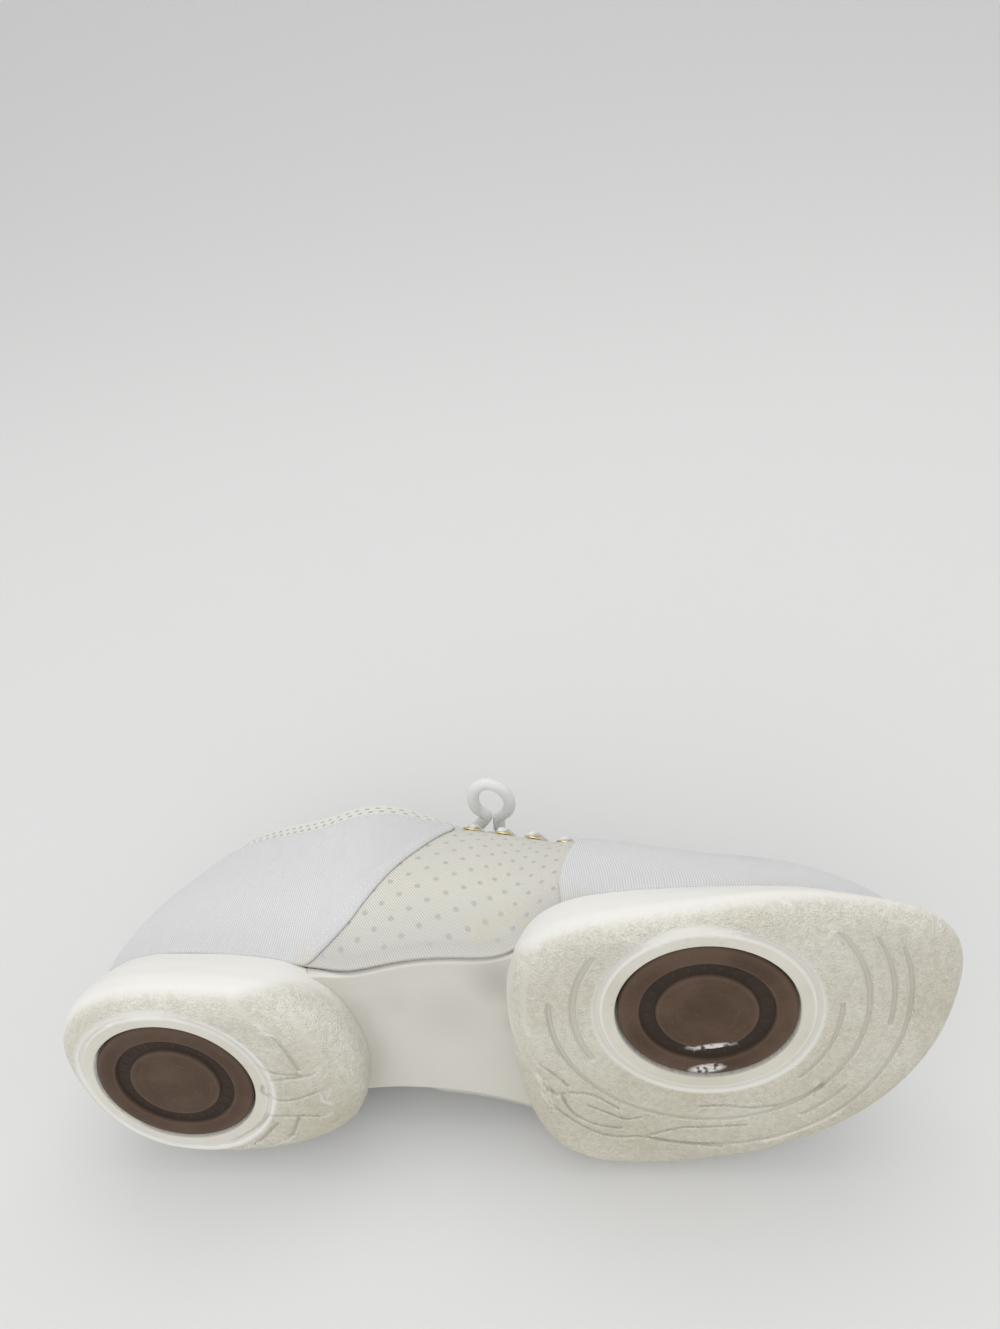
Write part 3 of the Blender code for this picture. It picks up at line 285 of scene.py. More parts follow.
# Soft creases of the upper: rib, height, half width along the rib number, half width in height,
# slant, depth in mm (a trough is negative)
creases = (
    (18.6, 0.55, 0.30, 0.30, 0.9, -0.5),
    (19.6, 0.42, 0.34, 0.26, 0.8, 0.4),
    (17.4, 0.62, 0.22, 0.25, 0.7, 0.35),
    (22.6, 0.62, 0.42, 0.20, -0.6, -0.45),
    (23.8, 0.70, 0.50, 0.16, 0.3, -0.4),
    (25.6, 0.52, 0.45, 0.22, -0.3, 0.35),
    (15.2, 0.50, 0.55, 0.12, 0.2, -0.35),
    (8.4, 0.55, 0.30, 0.28, -0.8, -0.5),
    (7.2, 0.45, 0.32, 0.24, -0.7, 0.4),
    (3.4, 0.60, 0.50, 0.18, 0.4, -0.4),
)


def creaseDepth(rib, up):
    # Sum of soft slanted bumps: depth times a bell of the distance along and up
    rib = np.mod(rib, len(ribs))
    total = np.zeros(np.broadcast(rib, up).shape)
    for at, height, wide, tall, slant, depth in creases:
        along = (rib - at - slant * (up - height)) / wide
        total += depth * mm * np.exp(-along ** 2 - ((up - height) / tall) ** 2)
    return total * np.clip((1 - up) * 9, 0, 1) * np.clip(up * 9, 0, 1)


last = Last()


def gridFaces(rows, cols, closedRows=False, closedCols=False):
    # Quads of a grid numbered row by row
    i = np.arange(rows if closedRows else rows - 1)[:, None]
    j = np.arange(cols if closedCols else cols - 1)[None, :]
    a = i * cols + j
    b = i * cols + (j + 1) % cols
    c = ((i + 1) % rows) * cols + (j + 1) % cols
    d = ((i + 1) % rows) * cols + j
    return np.stack([a, b, c, d], axis=-1).reshape(-1, 4)


def finishMesh(name, points, faces, uv=None, masks=None, world=True):
    # Mesh object from arrays; uv is one pair for each face corner, masks are one value a point
    mesh = bpy.data.meshes.new(name)
    places = toWorld(points) if world else points
    faces = faces.tolist() if isinstance(faces, np.ndarray) else faces
    mesh.from_pydata(places.tolist(), [], faces)
    if uv is not None:
        layer = mesh.uv_layers.new(name="cloth")
        layer.data.foreach_set("uv", np.asarray(uv, np.float32).ravel())
    for key, values in (masks or {}).items():
        attribute = mesh.attributes.new(key, "FLOAT", "POINT")
        attribute.data.foreach_set("value", np.asarray(values, np.float32).ravel())
    mesh.shade_smooth()
    mesh.validate()
    thing = bpy.data.objects.new(name, mesh)
    bpy.context.scene.collection.objects.link(thing)
    return thing


def cornerUv(rows, cols, uvGrid, closedRows=False, closedCols=False):
    # Face corner UVs from a grid with one more row or column where it closes
    i = np.arange(rows if closedRows else rows - 1)[:, None]
    j = np.arange(cols if closedCols else cols - 1)[None, :]
    i, j = np.broadcast_arrays(i, j)
    corners = np.stack([uvGrid[i, j], uvGrid[i, j + 1], uvGrid[i + 1, j + 1], uvGrid[i + 1, j]],
                       axis=2)
    return corners.reshape(-1, 2)


def outwardFaces(points, faces):
    # Faces turned so that the closed form's volume is positive
    quad = points[faces]
    first = np.einsum("ij,ij->i", quad[:, 0], np.cross(quad[:, 1], quad[:, 2])).sum()
    second = np.einsum("ij,ij->i", quad[:, 0], np.cross(quad[:, 2], quad[:, 3])).sum()
    return faces if first + second > 0 else faces[:, ::-1]


def ringFaces(points):
    # Stack of rings closed by a pole at either end, whose numbers follow the rings': its outward
    # quads, its triangles, and whether the quads had to be turned round
    rows, around = points.shape[:2]
    flat = points.reshape(-1, 3)
    grid = gridFaces(rows, around, closedCols=True)
    quads = outwardFaces(flat - flat.mean(axis=0), grid)
    ring = np.arange(around)
    after, final, pole = np.roll(ring, -1), (rows - 1) * around, ring * 0 + len(flat)
    caps = np.vstack([np.column_stack([after, ring, pole]),
                      np.column_stack([final + ring, final + after, pole + 1])])
    flipped = quads is not grid
    return quads, caps[:, ::-1] if flipped else caps, flipped


def finishRings(name, points, poles, masks):
    # Mesh of a stack of rings with its two poles, where every mask is 0
    quads, caps = ringFaces(points)[:2]
    flat = np.vstack([points.reshape(-1, 3), poles])
    return finishMesh(name, flat, quads.tolist() + caps.tolist(),
                      masks={key: np.append(values, [0, 0]) for key, values in masks.items()})


def slabFaces(points, across):
    # Two sheets side by side in each row, the second one backwards: closed round each row, with
    # the first and the last row filled in
    rows, cols = points.shape[:2]
    faces = [gridFaces(rows, cols, closedCols=True)]
    k = np.arange(across - 1)
    for row in (0, rows - 1):
        p = row * cols + k
        r = row * cols + cols - 2 - k
        faces.append(np.column_stack((p, p + 1, r, r + 1) if row else (p, r + 1, r, p + 1)))
    return outwardFaces(points.reshape(-1, 3), np.vstack(faces))


def spotMask(points, spots, tall=1.0):
    # Soft round spots: x, y, z and size in mm and strength, in the shoe's own frame; each fades
    # as a bell of the distance, in which height counts as tall says
    total = np.zeros(points.shape[:-1])
    for x, y, z, size, amount in spots:
        gap = np.linalg.norm((points - np.array([x, y, z]) * mm) * (1, 1, tall), axis=-1)
        total = np.maximum(total, amount * np.exp(-(gap / (size * mm)) ** 2))
    return total


def newMaterial(name):
    # Material with its node tree and its Principled shader
    material = bpy.data.materials.new(name)
    material.use_nodes = True
    tree = material.node_tree
    return material, tree, tree.nodes["Principled BSDF"]


def setValues(made, **values):
    # A node's own settings by name, and its sockets with low lines for the spaces of their names
    for key, value in values.items():
        if hasattr(made, key):
            setattr(made, key, value)
        else:
            made.inputs[key.replace("_", " ")].default_value = value


def node(tree, kind, **values):
    # New node with its values
    made = tree.nodes.new(kind)
    setValues(made, **values)
    return made


def dress(tree, shader, colour, normal, **values):
    # Colour and normal joined to a shader, and its plain values
    link(tree, colour, shader.inputs["Base Color"])
    link(tree, normal, shader.inputs["Normal"])
    setValues(shader, **values)


def link(tree, source, target):
    # Line from one socket to another
    tree.links.new(source, target)


def mixColour(tree, factor, first, second):
    # Colour mix; first and second are sockets or colours
    mixer = tree.nodes.new("ShaderNodeMix")
    mixer.data_type = "RGBA"
    if isinstance(factor, (int, float)):
        mixer.inputs[0].default_value = factor
    else:
        link(tree, factor, mixer.inputs[0])
    for socket, value in ((6, first), (7, second)):
        if isinstance(value, tuple):
            mixer.inputs[socket].default_value = (*value, 1)
        else:
            link(tree, value, mixer.inputs[socket])
    return mixer.outputs[2]


def maths(tree, operation, first, second=None, clamp=False):
    # Maths node of one or two sockets or numbers
    made = tree.nodes.new("ShaderNodeMath")
    made.operation = operation
    made.use_clamp = clamp
    for socket, value in ((0, first), (1, second)):
        if value is None:
            continue
        if isinstance(value, (int, float)):
            made.inputs[socket].default_value = value
        else:
            link(tree, value, made.inputs[socket])
    return made.outputs[0]


def times(tree, first, second):
    # Product of two sockets or numbers
    return maths(tree, "MULTIPLY", first, second)


def noise(tree, vector, scale, detail=3.0, roughness=0.55):
    # Cloudy value from 0 to 1 read at a place
    made = node(tree, "ShaderNodeTexNoise", Scale=scale, Detail=detail, Roughness=roughness)
    link(tree, vector, made.inputs["Vector"])
    return made.outputs[0]


def ramp(tree, value, low, high):
    # Smooth step from 0 at low to 1 at high; low may be the larger
    made = node(tree, "ShaderNodeMapRange", interpolation_type="SMOOTHSTEP", From_Min=low,
                From_Max=high)
    link(tree, value, made.inputs["Value"])
    return made.outputs[0]


def mask(tree, name):
    # One of the piece's own values a point
    return node(tree, "ShaderNodeAttribute", attribute_name=name).outputs["Fac"]


def bump(tree, height, strength, distance, normal=None):
    # Normal tilted by the slope of a height, on top of another normal where one is given
    made = node(tree, "ShaderNodeBump", Strength=strength, Distance=distance)
    link(tree, height, made.inputs["Height"])
    if normal is not None:
        link(tree, normal, made.inputs["Normal"])
    return made.outputs[0]


def objectPlace(tree):
    # Place on the object, in metres
    return tree.nodes.new("ShaderNodeTexCoord").outputs["Object"]


def uvPlace(tree, scale=(1, 1, 1)):
    # The piece's own UV, in metres, scaled
    mapping = node(tree, "ShaderNodeMapping", Scale=scale)
    link(tree, tree.nodes.new("ShaderNodeUVMap").outputs[0], mapping.inputs[0])
    return mapping.outputs[0]


def tint(tree, factor, colour, by):
    # Colour multiplied by another, as far as the factor says
    mixed = mixColour(tree, factor, colour, by)
    mixed.node.blend_type = "MULTIPLY"
    return mixed


def newGroup(name, inputs, outputs):
    # Shader group with named sockets: its tree, what goes in and what comes out
    tree = bpy.data.node_groups.new(name, "ShaderNodeTree")
    kinds = {"value": "NodeSocketFloat", "colour": "NodeSocketColor", "vector": "NodeSocketVector"}
    for way, sockets in (("INPUT", inputs), ("OUTPUT", outputs)):
        for socket, kind in sockets.items():
            tree.interface.new_socket(name=socket, in_out=way, socket_type=kinds[kind])
    return tree, tree.nodes.new("NodeGroupInput").outputs, tree.nodes.new("NodeGroupOutput").inputs


def placeGroup(tree, group, **values):
    # One of the groups placed in a material with its own values
    placed = tree.nodes.new("ShaderNodeGroup")
    placed.node_tree = groups[group]
    for key, value in values.items():
        placed.inputs[key].default_value = (*value, 1) if isinstance(value, tuple) else value
    return placed


def rubberGroup():
    # Moulded foam rubber: smooth sides, pebbled tread, rubbed-in dirt and faint yellowing, a painted
    # highlight along the groove rims and painted shade in the groove floors
    tree, given, out = newGroup("foam_rubber", {"Clean": "colour", "Soiled": "colour"},
                                {"Colour": "colour", "Roughness": "value", "Normal": "vector"})
    place = objectPlace(tree)
    soft = noise(tree, place, 26, 4)
    fine = noise(tree, place, 420, 3)
    broad = noise(tree, place, 9, 3)
    soil, grain = mask(tree, "soil"), mask(tree, "grain")
    patchy = maths(tree, "ADD", times(tree, ramp(tree, soft, 0.25, 0.8), 0.45), 0.55)
    colour = tint(tree, ramp(tree, broad, 0.35, 0.7), given["Clean"], (0.97, 0.965, 0.945))
    colour = mixColour(tree, times(tree, soil, patchy), colour, given["Soiled"])
    pits = times(tree, ramp(tree, fine, 0.35, 0.62), grain)
    colour = tint(tree, times(tree, pits, 0.32), colour, (1.35, 1.35, 1.35))
    speck = times(tree, ramp(tree, fine, 0.60, 0.75), soil)
    colour = tint(tree, times(tree, speck, 0.35), colour, (0.72, 0.72, 0.72))
    groove = mask(tree, "groove")
    # painted highlight: a band along each groove's rim is mixed back to the clean colour
    paleMix = maths(tree, "SUBTRACT", ramp(tree, groove, 0.0, 0.30),
                   ramp(tree, groove, 0.35, 0.85), True)
    colour = mixColour(tree, times(tree, paleMix, 0.5), colour, given["Clean"])
    # painted shade: the groove floors are darkened
    grooveFloorShade = times(tree, ramp(tree, groove, 0.5, 1.0), 0.45)
    colour = tint(tree, grooveFloorShade, colour, (0.72, 0.72, 0.70))
    colour = mixColour(tree, times(tree, mask(tree, "smudge"), 0.5), colour,
                       (0.30, 0.28, 0.26))
    link(tree, colour, out["Colour"])
    rough = maths(tree, "ADD", times(tree, soft, 0.12), 0.44)
    link(tree, maths(tree, "ADD", rough, times(tree, grain, 0.22)), out["Roughness"])
    cells = node(tree, "ShaderNodeTexVoronoi", feature="SMOOTH_F1", Scale=1700, Smoothness=0.35)
    link(tree, place, cells.inputs["Vector"])
    normal = bump(tree, times(tree, cells.outputs["Distance"], grain), 1.0, 0.0005)
    normal = bump(tree, soft, 0.10, 0.0006, normal)
    normal = bump(tree, times(tree, fine, grain), 0.25, 0.0003, normal)
    link(tree, normal, out["Normal"])
    return tree


def weaveGroup():
    # Two crossing sets of threads along the cloth's own UV, and its slow unevenness
    inputs = dict.fromkeys(("Turn", "Along", "Across", "Waver"), "value")
    outputs = dict.fromkeys(("Along", "Across", "Soft"), "value")
    tree, given, out = newGroup("cloth_weave", inputs, outputs)
    turn = tree.nodes.new("ShaderNodeCombineXYZ")
    link(tree, given["Turn"], turn.inputs[2])
    mapping = tree.nodes.new("ShaderNodeMapping")
    link(tree, tree.nodes.new("ShaderNodeUVMap").outputs[0], mapping.inputs["Vector"])
    link(tree, turn.outputs[0], mapping.inputs["Rotation"])
    for name, direction in (("Along", "X"), ("Across", "Y")):
        made = node(tree, "ShaderNodeTexWave", wave_type="BANDS", bands_direction=direction,
                    wave_profile="SIN")
        link(tree, mapping.outputs[0], made.inputs["Vector"])
        link(tree, times(tree, given[name], 2 * math.pi / 20), made.inputs["Scale"])
        link(tree, given["Waver"], made.inputs["Distortion"])
        link(tree, made.outputs["Fac"], out[name])
    link(tree, noise(tree, objectPlace(tree), 24, 3), out["Soft"])
    return tree


def stainAndShadeGroup():
    # Yellow stains of the cloth and painted grey shade, from the piece's own masks; the shade mask
    # darkens the cloth's foot by the sole and a spot by the heel pad's front
    tree, given, out = newGroup("cloth_stains_and_painted_shade", {"Colour": "colour"}, {"Colour": "colour"})
    patchy = ramp(tree, noise(tree, objectPlace(tree), 130, 4), 0.35, 0.65)
    yellow = times(tree, mask(tree, "stain"), patchy)
    colour = mixColour(tree, times(tree, yellow, 0.7), given["Colour"], (0.66, 0.57, 0.33))
    # painted shade: grey mixed in where the shade mask says
    paintedShade = times(tree, mask(tree, "shade"), 0.4)
    link(tree, mixColour(tree, paintedShade, colour, (0.40, 0.40, 0.41)), out["Colour"])
    return tree


groups = {"rubber": rubberGroup(), "weave": weaveGroup(), "stains": stainAndShadeGroup()}


def stainedAndShaded(tree, colour):
    # Cloth's colour with its stains and painted shade
    marked = placeGroup(tree, "stains")
    link(tree, colour, marked.inputs["Colour"])
    return marked.outputs["Colour"]


def rubberMaterial(name, clean, soiled):
    # Soft rubber of two colours, clean and rubbed with dirt, that lets a little light through
    material, tree, shader = newMaterial(name)
    worn = placeGroup(tree, "rubber", Clean=clean, Soiled=soiled).outputs
    dress(tree, shader, worn["Colour"], worn["Normal"], Specular_IOR_Level=0.35,
          Subsurface_Weight=0.12, Subsurface_Radius=(0.003, 0.0024, 0.0018))
    link(tree, worn["Roughness"], shader.inputs["Roughness"])
    return material


def discMaterial():
    # Hard brown plastic, lightly scuffed, with paler rubbed edges and painted shade in the sunk
    # channel
    material, tree, shader = newMaterial("brown_disc_plastic")
    place = objectPlace(tree)
    mottle = noise(tree, place, 60, 5, 0.6)
    scratch = noise(tree, place, 900, 2)
    colour = mixColour(tree, ramp(tree, mottle, 0.3, 0.75), (0.062, 0.034, 0.020),
                       (0.098, 0.060, 0.039))
    colour = mixColour(tree, times(tree, ramp(tree, scratch, 0.58, 0.72), 0.18), colour,
                       (0.16, 0.12, 0.09))
    colour = mixColour(tree, times(tree, mask(tree, "edge"), 0.42), colour,
                       (0.120, 0.082, 0.056))
    # painted shade: the sunk channel is darkened almost to black
    deep = times(tree, mask(tree, "deep"), 0.75)
    colour = mixColour(tree, deep, colour, (0.014, 0.009, 0.006))
    patchy = ramp(tree, noise(tree, place, 520, 4), 0.38, 0.52)
    paleMix = times(tree, mask(tree, "scuff"), patchy)
    colour = mixColour(tree, paleMix, colour, (0.62, 0.61, 0.59))
    dress(tree, shader, colour, bump(tree, scratch, 0.18, 0.0002), Specular_IOR_Level=0.22)
    rough = maths(tree, "ADD", times(tree, mottle, 0.2), 0.42)
    link(tree, rough, shader.inputs["Roughness"])
    return material


def canvasMaterial():
    # Cool white canvas with fine upright ribs and a crossing thread
    material, tree, shader = newMaterial("white_ribbed_canvas")
    woven = placeGroup(tree, "weave", Along=1250, Across=1650, Waver=0.6).outputs
    thread = noise(tree, uvPlace(tree, (700, 120, 1)), 1.0, 2)
    weave = maths(tree, "ADD", times(tree, woven["Along"], 0.7),
                  times(tree, woven["Across"], 0.3))
    colour = mixColour(tree, weave, (0.50, 0.50, 0.505), (0.79, 0.79, 0.795))
    colour = mixColour(tree, times(tree, ramp(tree, thread, 0.35, 0.7), 0.25), colour,
                       (0.56, 0.565, 0.58))
    soft = times(tree, ramp(tree, woven["Soft"], 0.3, 0.75), 0.25)
    colour = mixColour(tree, soft, colour, (0.62, 0.62, 0.62))
    normal = bump(tree, weave, 0.55, 0.00016)
    normal = bump(tree, thread, 0.30, 0.00012, normal)
    normal = bump(tree, woven["Soft"], 0.25, 0.0012, normal)
    dress(tree, shader, stainedAndShaded(tree, colour), normal, Roughness=0.92, Specular_IOR_Level=0.18,
          Sheen_Weight=0.25, Sheen_Roughness=0.5)
    return material


# The two ways across the staggered pinholes, in holes a metre along the cloth's u and v
dotWays = ((132.9, -104.7, 0), (51.3, 135.0, 0))

# Rows of small holes in the collar band: distance from the rim and shift as a share of the pitch
bandHoles = {"pitch": 3.6 * mm, "rows": ((3.0 * mm, 0.0), (6.2 * mm, 0.5))}


def meshMaterial():
    # Cream twill with staggered pinholes, and a ribbed band with two rows of holes at the collar
    material, tree, shader = newMaterial("cream_twill_mesh")
    uv = uvPlace(tree)
    woven = placeGroup(tree, "weave", Turn=0.72, Along=1500, Across=1300, Waver=0.4).outputs
    twill = woven["Along"]
    across = placeGroup(tree, "weave", Across=1300, Waver=0.5).outputs["Across"]
    near = []
    for way in dotWays:
        walked = node(tree, "ShaderNodeVectorMath", operation="DOT_PRODUCT")
        walked.inputs[1].default_value = way
        link(tree, uv, walked.inputs[0])
        share = maths(tree, "FRACT", walked.outputs["Value"])
        near.append(maths(tree, "ABSOLUTE", maths(tree, "SUBTRACT", share, 0.5)))
    gap = maths(tree, "SQRT", maths(tree, "ADD", maths(tree, "POWER", near[0], 2.0),
                                    maths(tree, "POWER", near[1], 2.0)))
    wobble = times(tree, noise(tree, uv, 1500, 2), 0.06)
    holes = ramp(tree, maths(tree, "ADD", gap, wobble), 0.225, 0.085)
    holes = times(tree, holes, mask(tree, "dots"))
    colour = mixColour(tree, twill, (0.52, 0.507, 0.45), (0.765, 0.748, 0.675))
    colour = mixColour(tree, times(tree, across, 0.25), colour, (0.62, 0.605, 0.545))
    colour = mixColour(tree, mask(tree, "band"), colour, (0.74, 0.73, 0.68))
    colour = mixColour(tree, times(tree, holes, 0.50), colour, (0.33, 0.34, 0.355))
    parts = tree.nodes.new("ShaderNodeSeparateXYZ")
    link(tree, uv, parts.inputs[0])
    pierced = None
    for row, shift in bandHoles["rows"]:
        along = maths(tree, "DIVIDE", parts.outputs[0], bandHoles["pitch"])
        along = maths(tree, "FRACT", maths(tree, "ADD", along, shift))
        along = maths(tree, "ABSOLUTE", maths(tree, "SUBTRACT", along, 0.5))
        along = times(tree, along, bandHoles["pitch"])
        down = maths(tree, "ABSOLUTE", maths(tree, "SUBTRACT", mask(tree, "fromRim"), row))
        spot = ramp(tree, maths(tree, "MAXIMUM", along, down), 0.00085, 0.00045)
        pierced = spot if pierced is None else maths(tree, "MAXIMUM", pierced, spot)
    pierced = times(tree, pierced, mask(tree, "band"))
    colour = mixColour(tree, times(tree, pierced, 0.7), colour, (0.33, 0.33, 0.31))
    normal = bump(tree, twill, 0.5, 0.00018)
    normal = bump(tree, across, 0.3, 0.00012, normal)
    whole = maths(tree, "SUBTRACT", 1.0, maths(tree, "MAXIMUM", holes, pierced))
    normal = bump(tree, whole, 0.6, 0.0004, normal)
    normal = bump(tree, woven["Soft"], 0.25, 0.0012, normal)
    dress(tree, shader, stainedAndShaded(tree, colour), normal, Roughness=0.9, Specular_IOR_Level=0.2,
          Sheen_Weight=0.2)
    return material


def plainClothMaterial(name, colour, scale=1400):
    # Plain woven cloth or lining with a fine over and under weave
    material, tree, shader = newMaterial(name)
    woven = placeGroup(tree, "weave", Along=scale, Across=scale, Waver=0.5).outputs
    weave = times(tree, woven["Along"], woven["Across"])
    shade = mixColour(tree, weave, tuple(c * 0.82 for c in colour), colour)
    shade = mixColour(tree, times(tree, ramp(tree, woven["Soft"], 0.3, 0.8), 0.3), shade,
                      tuple(c * 0.9 for c in colour))
    normal = bump(tree, woven["Soft"], 0.2, 0.001, bump(tree, weave, 0.5, 0.0002))
    dress(tree, shader, shade, normal, Roughness=0.93, Specular_IOR_Level=0.15, Sheen_Weight=0.2)
    return material


def laceMaterial():
    # White flat braid: two sets of slanted bands along the tube's own UV.
    material, tree, shader = newMaterial("white_braided_lace")
    slants = [placeGroup(tree, "weave", Turn=turn, Along=1300).outputs["Along"]
              for turn in (0.6, -0.6)]
    braid = maths(tree, "MAXIMUM", *slants)
    colour = mixColour(tree, braid, (0.62, 0.62, 0.61), (0.85, 0.85, 0.84))
    dress(tree, shader, colour, bump(tree, braid, 0.7, 0.00025), Roughness=0.88, Sheen_Weight=0.2)
    return material


def goldMaterial():
    # Pale gold metal, a little rubbed
    material, tree, shader = newMaterial("pale_gold_metal")
    rub = noise(tree, objectPlace(tree), 700, 3)
    colour = mixColour(tree, ramp(tree, rub, 0.3, 0.75), (0.78, 0.60, 0.26), (0.88, 0.74, 0.42))
    dress(tree, shader, colour, bump(tree, rub, 0.1, 0.0001), Metallic=1.0)
    link(tree, maths(tree, "ADD", times(tree, rub, 0.2), 0.2), shader.inputs["Roughness"])
    return material


def stitchMaterial():
    # Sewing thread with a fine twist
    material, tree, shader = newMaterial("white_thread")
    twist = noise(tree, objectPlace(tree), 2600, 2)
    colour = mixColour(tree, twist, (0.60, 0.60, 0.60), (0.80, 0.80, 0.79))
    dress(tree, shader, colour, bump(tree, twist, 0.4, 0.0001), Roughness=0.8)
    return material


looks = {
    "tread": rubberMaterial("cream_foam_rubber", (0.79, 0.78, 0.745), (0.50, 0.465, 0.365)),
    "arch": rubberMaterial("cream_arch_rubber", (0.67, 0.65, 0.605), (0.42, 0.40, 0.35)),
    "disc": discMaterial(),
    "canvas": canvasMaterial(),
    "mesh": meshMaterial(),
    "lining": plainClothMaterial("white_lining_cloth", (0.74, 0.74, 0.72)),
    "tongue": plainClothMaterial("cream_tongue_cloth", (0.72, 0.69, 0.55), 1100),
    "lace": laceMaterial(),
    "gold": goldMaterial(),
    "stitch": stitchMaterial(),
}
print("materials made")


def wear(thing, look, slot, *nodes):
    # Gives a piece its material and its body, and hides the model's nodes that it stands for; slot
    # is not used
    thing.data.materials.clear()
    thing.data.materials.append(looks[look])
    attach(thing, "root")
    if nodes:
        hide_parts(*nodes)
    return thing


heelOutline = ((-0.010, 0.000, 0.50), (0.000, 0.135, 0.50), (0.034, 0.262, 0.45),
               (0.090, 0.346, 0.40), (0.170, 0.386, 0.40), (0.250, 0.374, 0.35),
               (0.312, 0.310, 0.26), (0.343, 0.185, 0.26), (0.350, 0.020, 0.26),
               (0.338, -0.130, 0.26), (0.305, -0.228, 0.26), (0.245, -0.300, 0.30),
               (0.170, -0.352, 0.40), (0.095, -0.360, 0.45), (0.032, -0.280, 0.50),
               (-0.003, -0.145, 0.50))
forefootOutline = ((0.535, 0.000, 0.26), (0.526, 0.200, 0.26), (0.525, 0.370, 0.26),
                   (0.541, 0.515, 0.30), (0.580, 0.605, 0.30), (0.632, 0.643, 0.30),
                   (0.700, 0.655, 0.40), (0.770, 0.640, 0.45), (0.840, 0.587, 0.50),
                   (0.912, 0.490, 0.60), (0.969, 0.343, 0.65), (1.006, 0.130, 0.60),
                   (1.012, -0.030, 0.55), (0.985, -0.162, 0.65), (0.930, -0.258, 0.70),
                   (0.866, -0.325, 0.65), (0.770, -0.350, 0.42), (0.682, -0.352, 0.24),
                   (0.612, -0.328, 0.20), (0.566, -0.245, 0.24), (0.544, -0.122, 0.26))

# Side of a pad: share of its height, share of the round, share of the outline's lean
padSide = ((0.00, 1.00, 0.0), (0.04, 0.55, 0.0), (0.14, 0.24, 0.0), (0.30, 0.05, 0.0),
           (0.48, 0.00, 0.02), (0.75, 0.00, 0.38), (1.00, 0.00, 1.00))

# Grooves round each disc: radius as a share of the disc's, start and end in degrees, half width
# and depth in mm; 0 is towards the toe and positive towards the medial side
forefootGrooves = (
    (1.231, 0, 360, 1.3, 0.75), (1.50, 135, 198, 1.5, 0.7), (1.47, -7, -55, 1.1, 0.6),
    (1.77, 35, -195, 1.2, 0.7), (2.04, 19, -19, 1.1, 0.65), (2.06, 150, 178, 1.1, 0.65),
    (2.00, -48, -67, 1.1, 0.6), (2.23, 11, -117, 1.1, 0.6), (2.23, 151, 207, 1.1, 0.6),
)
heelGrooves = ((1.212, 0, 360, 1.1, 0.65), (1.68, 46, -1, 1.2, 0.7), (2.02, 23, 5, 1.1, 0.65))

# Loose flowing lines of the tread, as listed points in mm from each disc's centre
forefootWaves = (
    ((-57, 6), (-54, 11), (-50, 17), (-47, 23)),
    ((-59, 16), (-55, 28), (-50, 38), (-43, 46), (-37, 49), (-30, 50), (-24, 53), (-16, 56),
     (-6, 59)),
    ((-28, 50), (-17, 48), (-8, 49), (3, 50)),
    ((-9, 39), (-1, 40), (5, 42), (16, 42), (28, 37)),
    ((-55, 20), (-53, 25), (-49, 26)),
    ((-50, 27), (-49, 34), (-46, 39), (-41, 43), (-35, 45)),
    ((-47, 26), (-41, 28), (-37, 32), (-34, 36)),
    ((-43, 33), (-38, 37), (-33, 41), (-28, 41)),
)
heelWaves = (
    ((33, 4), (39, 4), (44, 4), (48, 3), (54, -1)),
    ((48, 18), (47, 15), (50, 12), (57, 7), (63, 2)),
    ((25, 20), (31, 21), (37, 22), (43, 23), (49, 22), (56, 18)),
    ((8, 30), (13, 28), (20, 24), (25, 20)),
    ((10, 35), (18, 31), (27, 24)),
    ((22, 35), (29, 31), (35, 23)),
    ((32, -2), (34, 0), (38, 2), (43, 3)),
    ((29, 6), (28, 9), (31, 13), (36, 14), (41, 13), (48, 11)),
)


# Grooves: floor and rim as shares of the half width, their depth against the tables', and the low
# lip beside them; flowing lines: half widths of floor and rim, and depth
groove = {"floor": 0.35, "rim": 1.05, "deeper": 1.25, "lipAt": 1.45, "lipWidth": 0.5 * mm,
          "lip": 0.24 * mm}
flow = {"floor": 0.15 * mm, "rim": 0.95 * mm, "deep": 0.85 * mm}


def grooveAmount(x, y, table):
    # How deep each point lies in the grooves, in metres, and how far in as a share: a smooth step
    # of the distance from each arc, with a bell beside it for the lip
    angle = np.degrees(np.arctan2(-y, x))
    radius = np.hypot(x, y)
    depth = np.zeros(x.shape)
    share = np.zeros(x.shape)
    for ratio, start, end, half, deep in table:
        low, high = min(start, end), max(start, end)
        if high - low >= 360:
            beyond = np.zeros(x.shape)
        else:
            turned = np.mod(angle - low, 360)
            span = high - low
            past = np.where(turned <= span, 0, np.minimum(turned - span, 360 - turned))
            beyond = np.radians(past) * radius
        across = np.hypot(np.abs(radius - ratio * disc["radius"]), beyond)
        inside = 1 - smoothStep(half * groove["floor"] * mm, half * groove["rim"] * mm, across)
        lip = np.exp(-((across - half * groove["lipAt"] * mm) / groove["lipWidth"]) ** 2)
        depth = np.maximum(depth, inside * deep * groove["deeper"] * mm) - lip * groove["lip"]
        share = np.maximum(share, inside)
    return depth, share


def waveAmount(x, y, waves):
    # Depth of the flowing lines: distance to short smooth curves
    depth = np.zeros(x.shape)
    for route in waves:
        line = smoothRoute(np.array(route) * mm, 26)
        near = np.full(x.shape, 1.0)
        for a, b in zip(line[:-1], line[1:]):
            step = b - a
            t = np.clip(((x - a[0]) * step[0] + (y - a[1]) * step[1]) / (step @ step), 0, 1)
            near = np.minimum(near, np.hypot(x - a[0] - t * step[0], y - a[1] - t * step[1]))
        inside = 1 - smoothStep(flow["floor"], flow["rim"], near)
        depth = np.maximum(depth, inside * flow["deep"])
    return depth


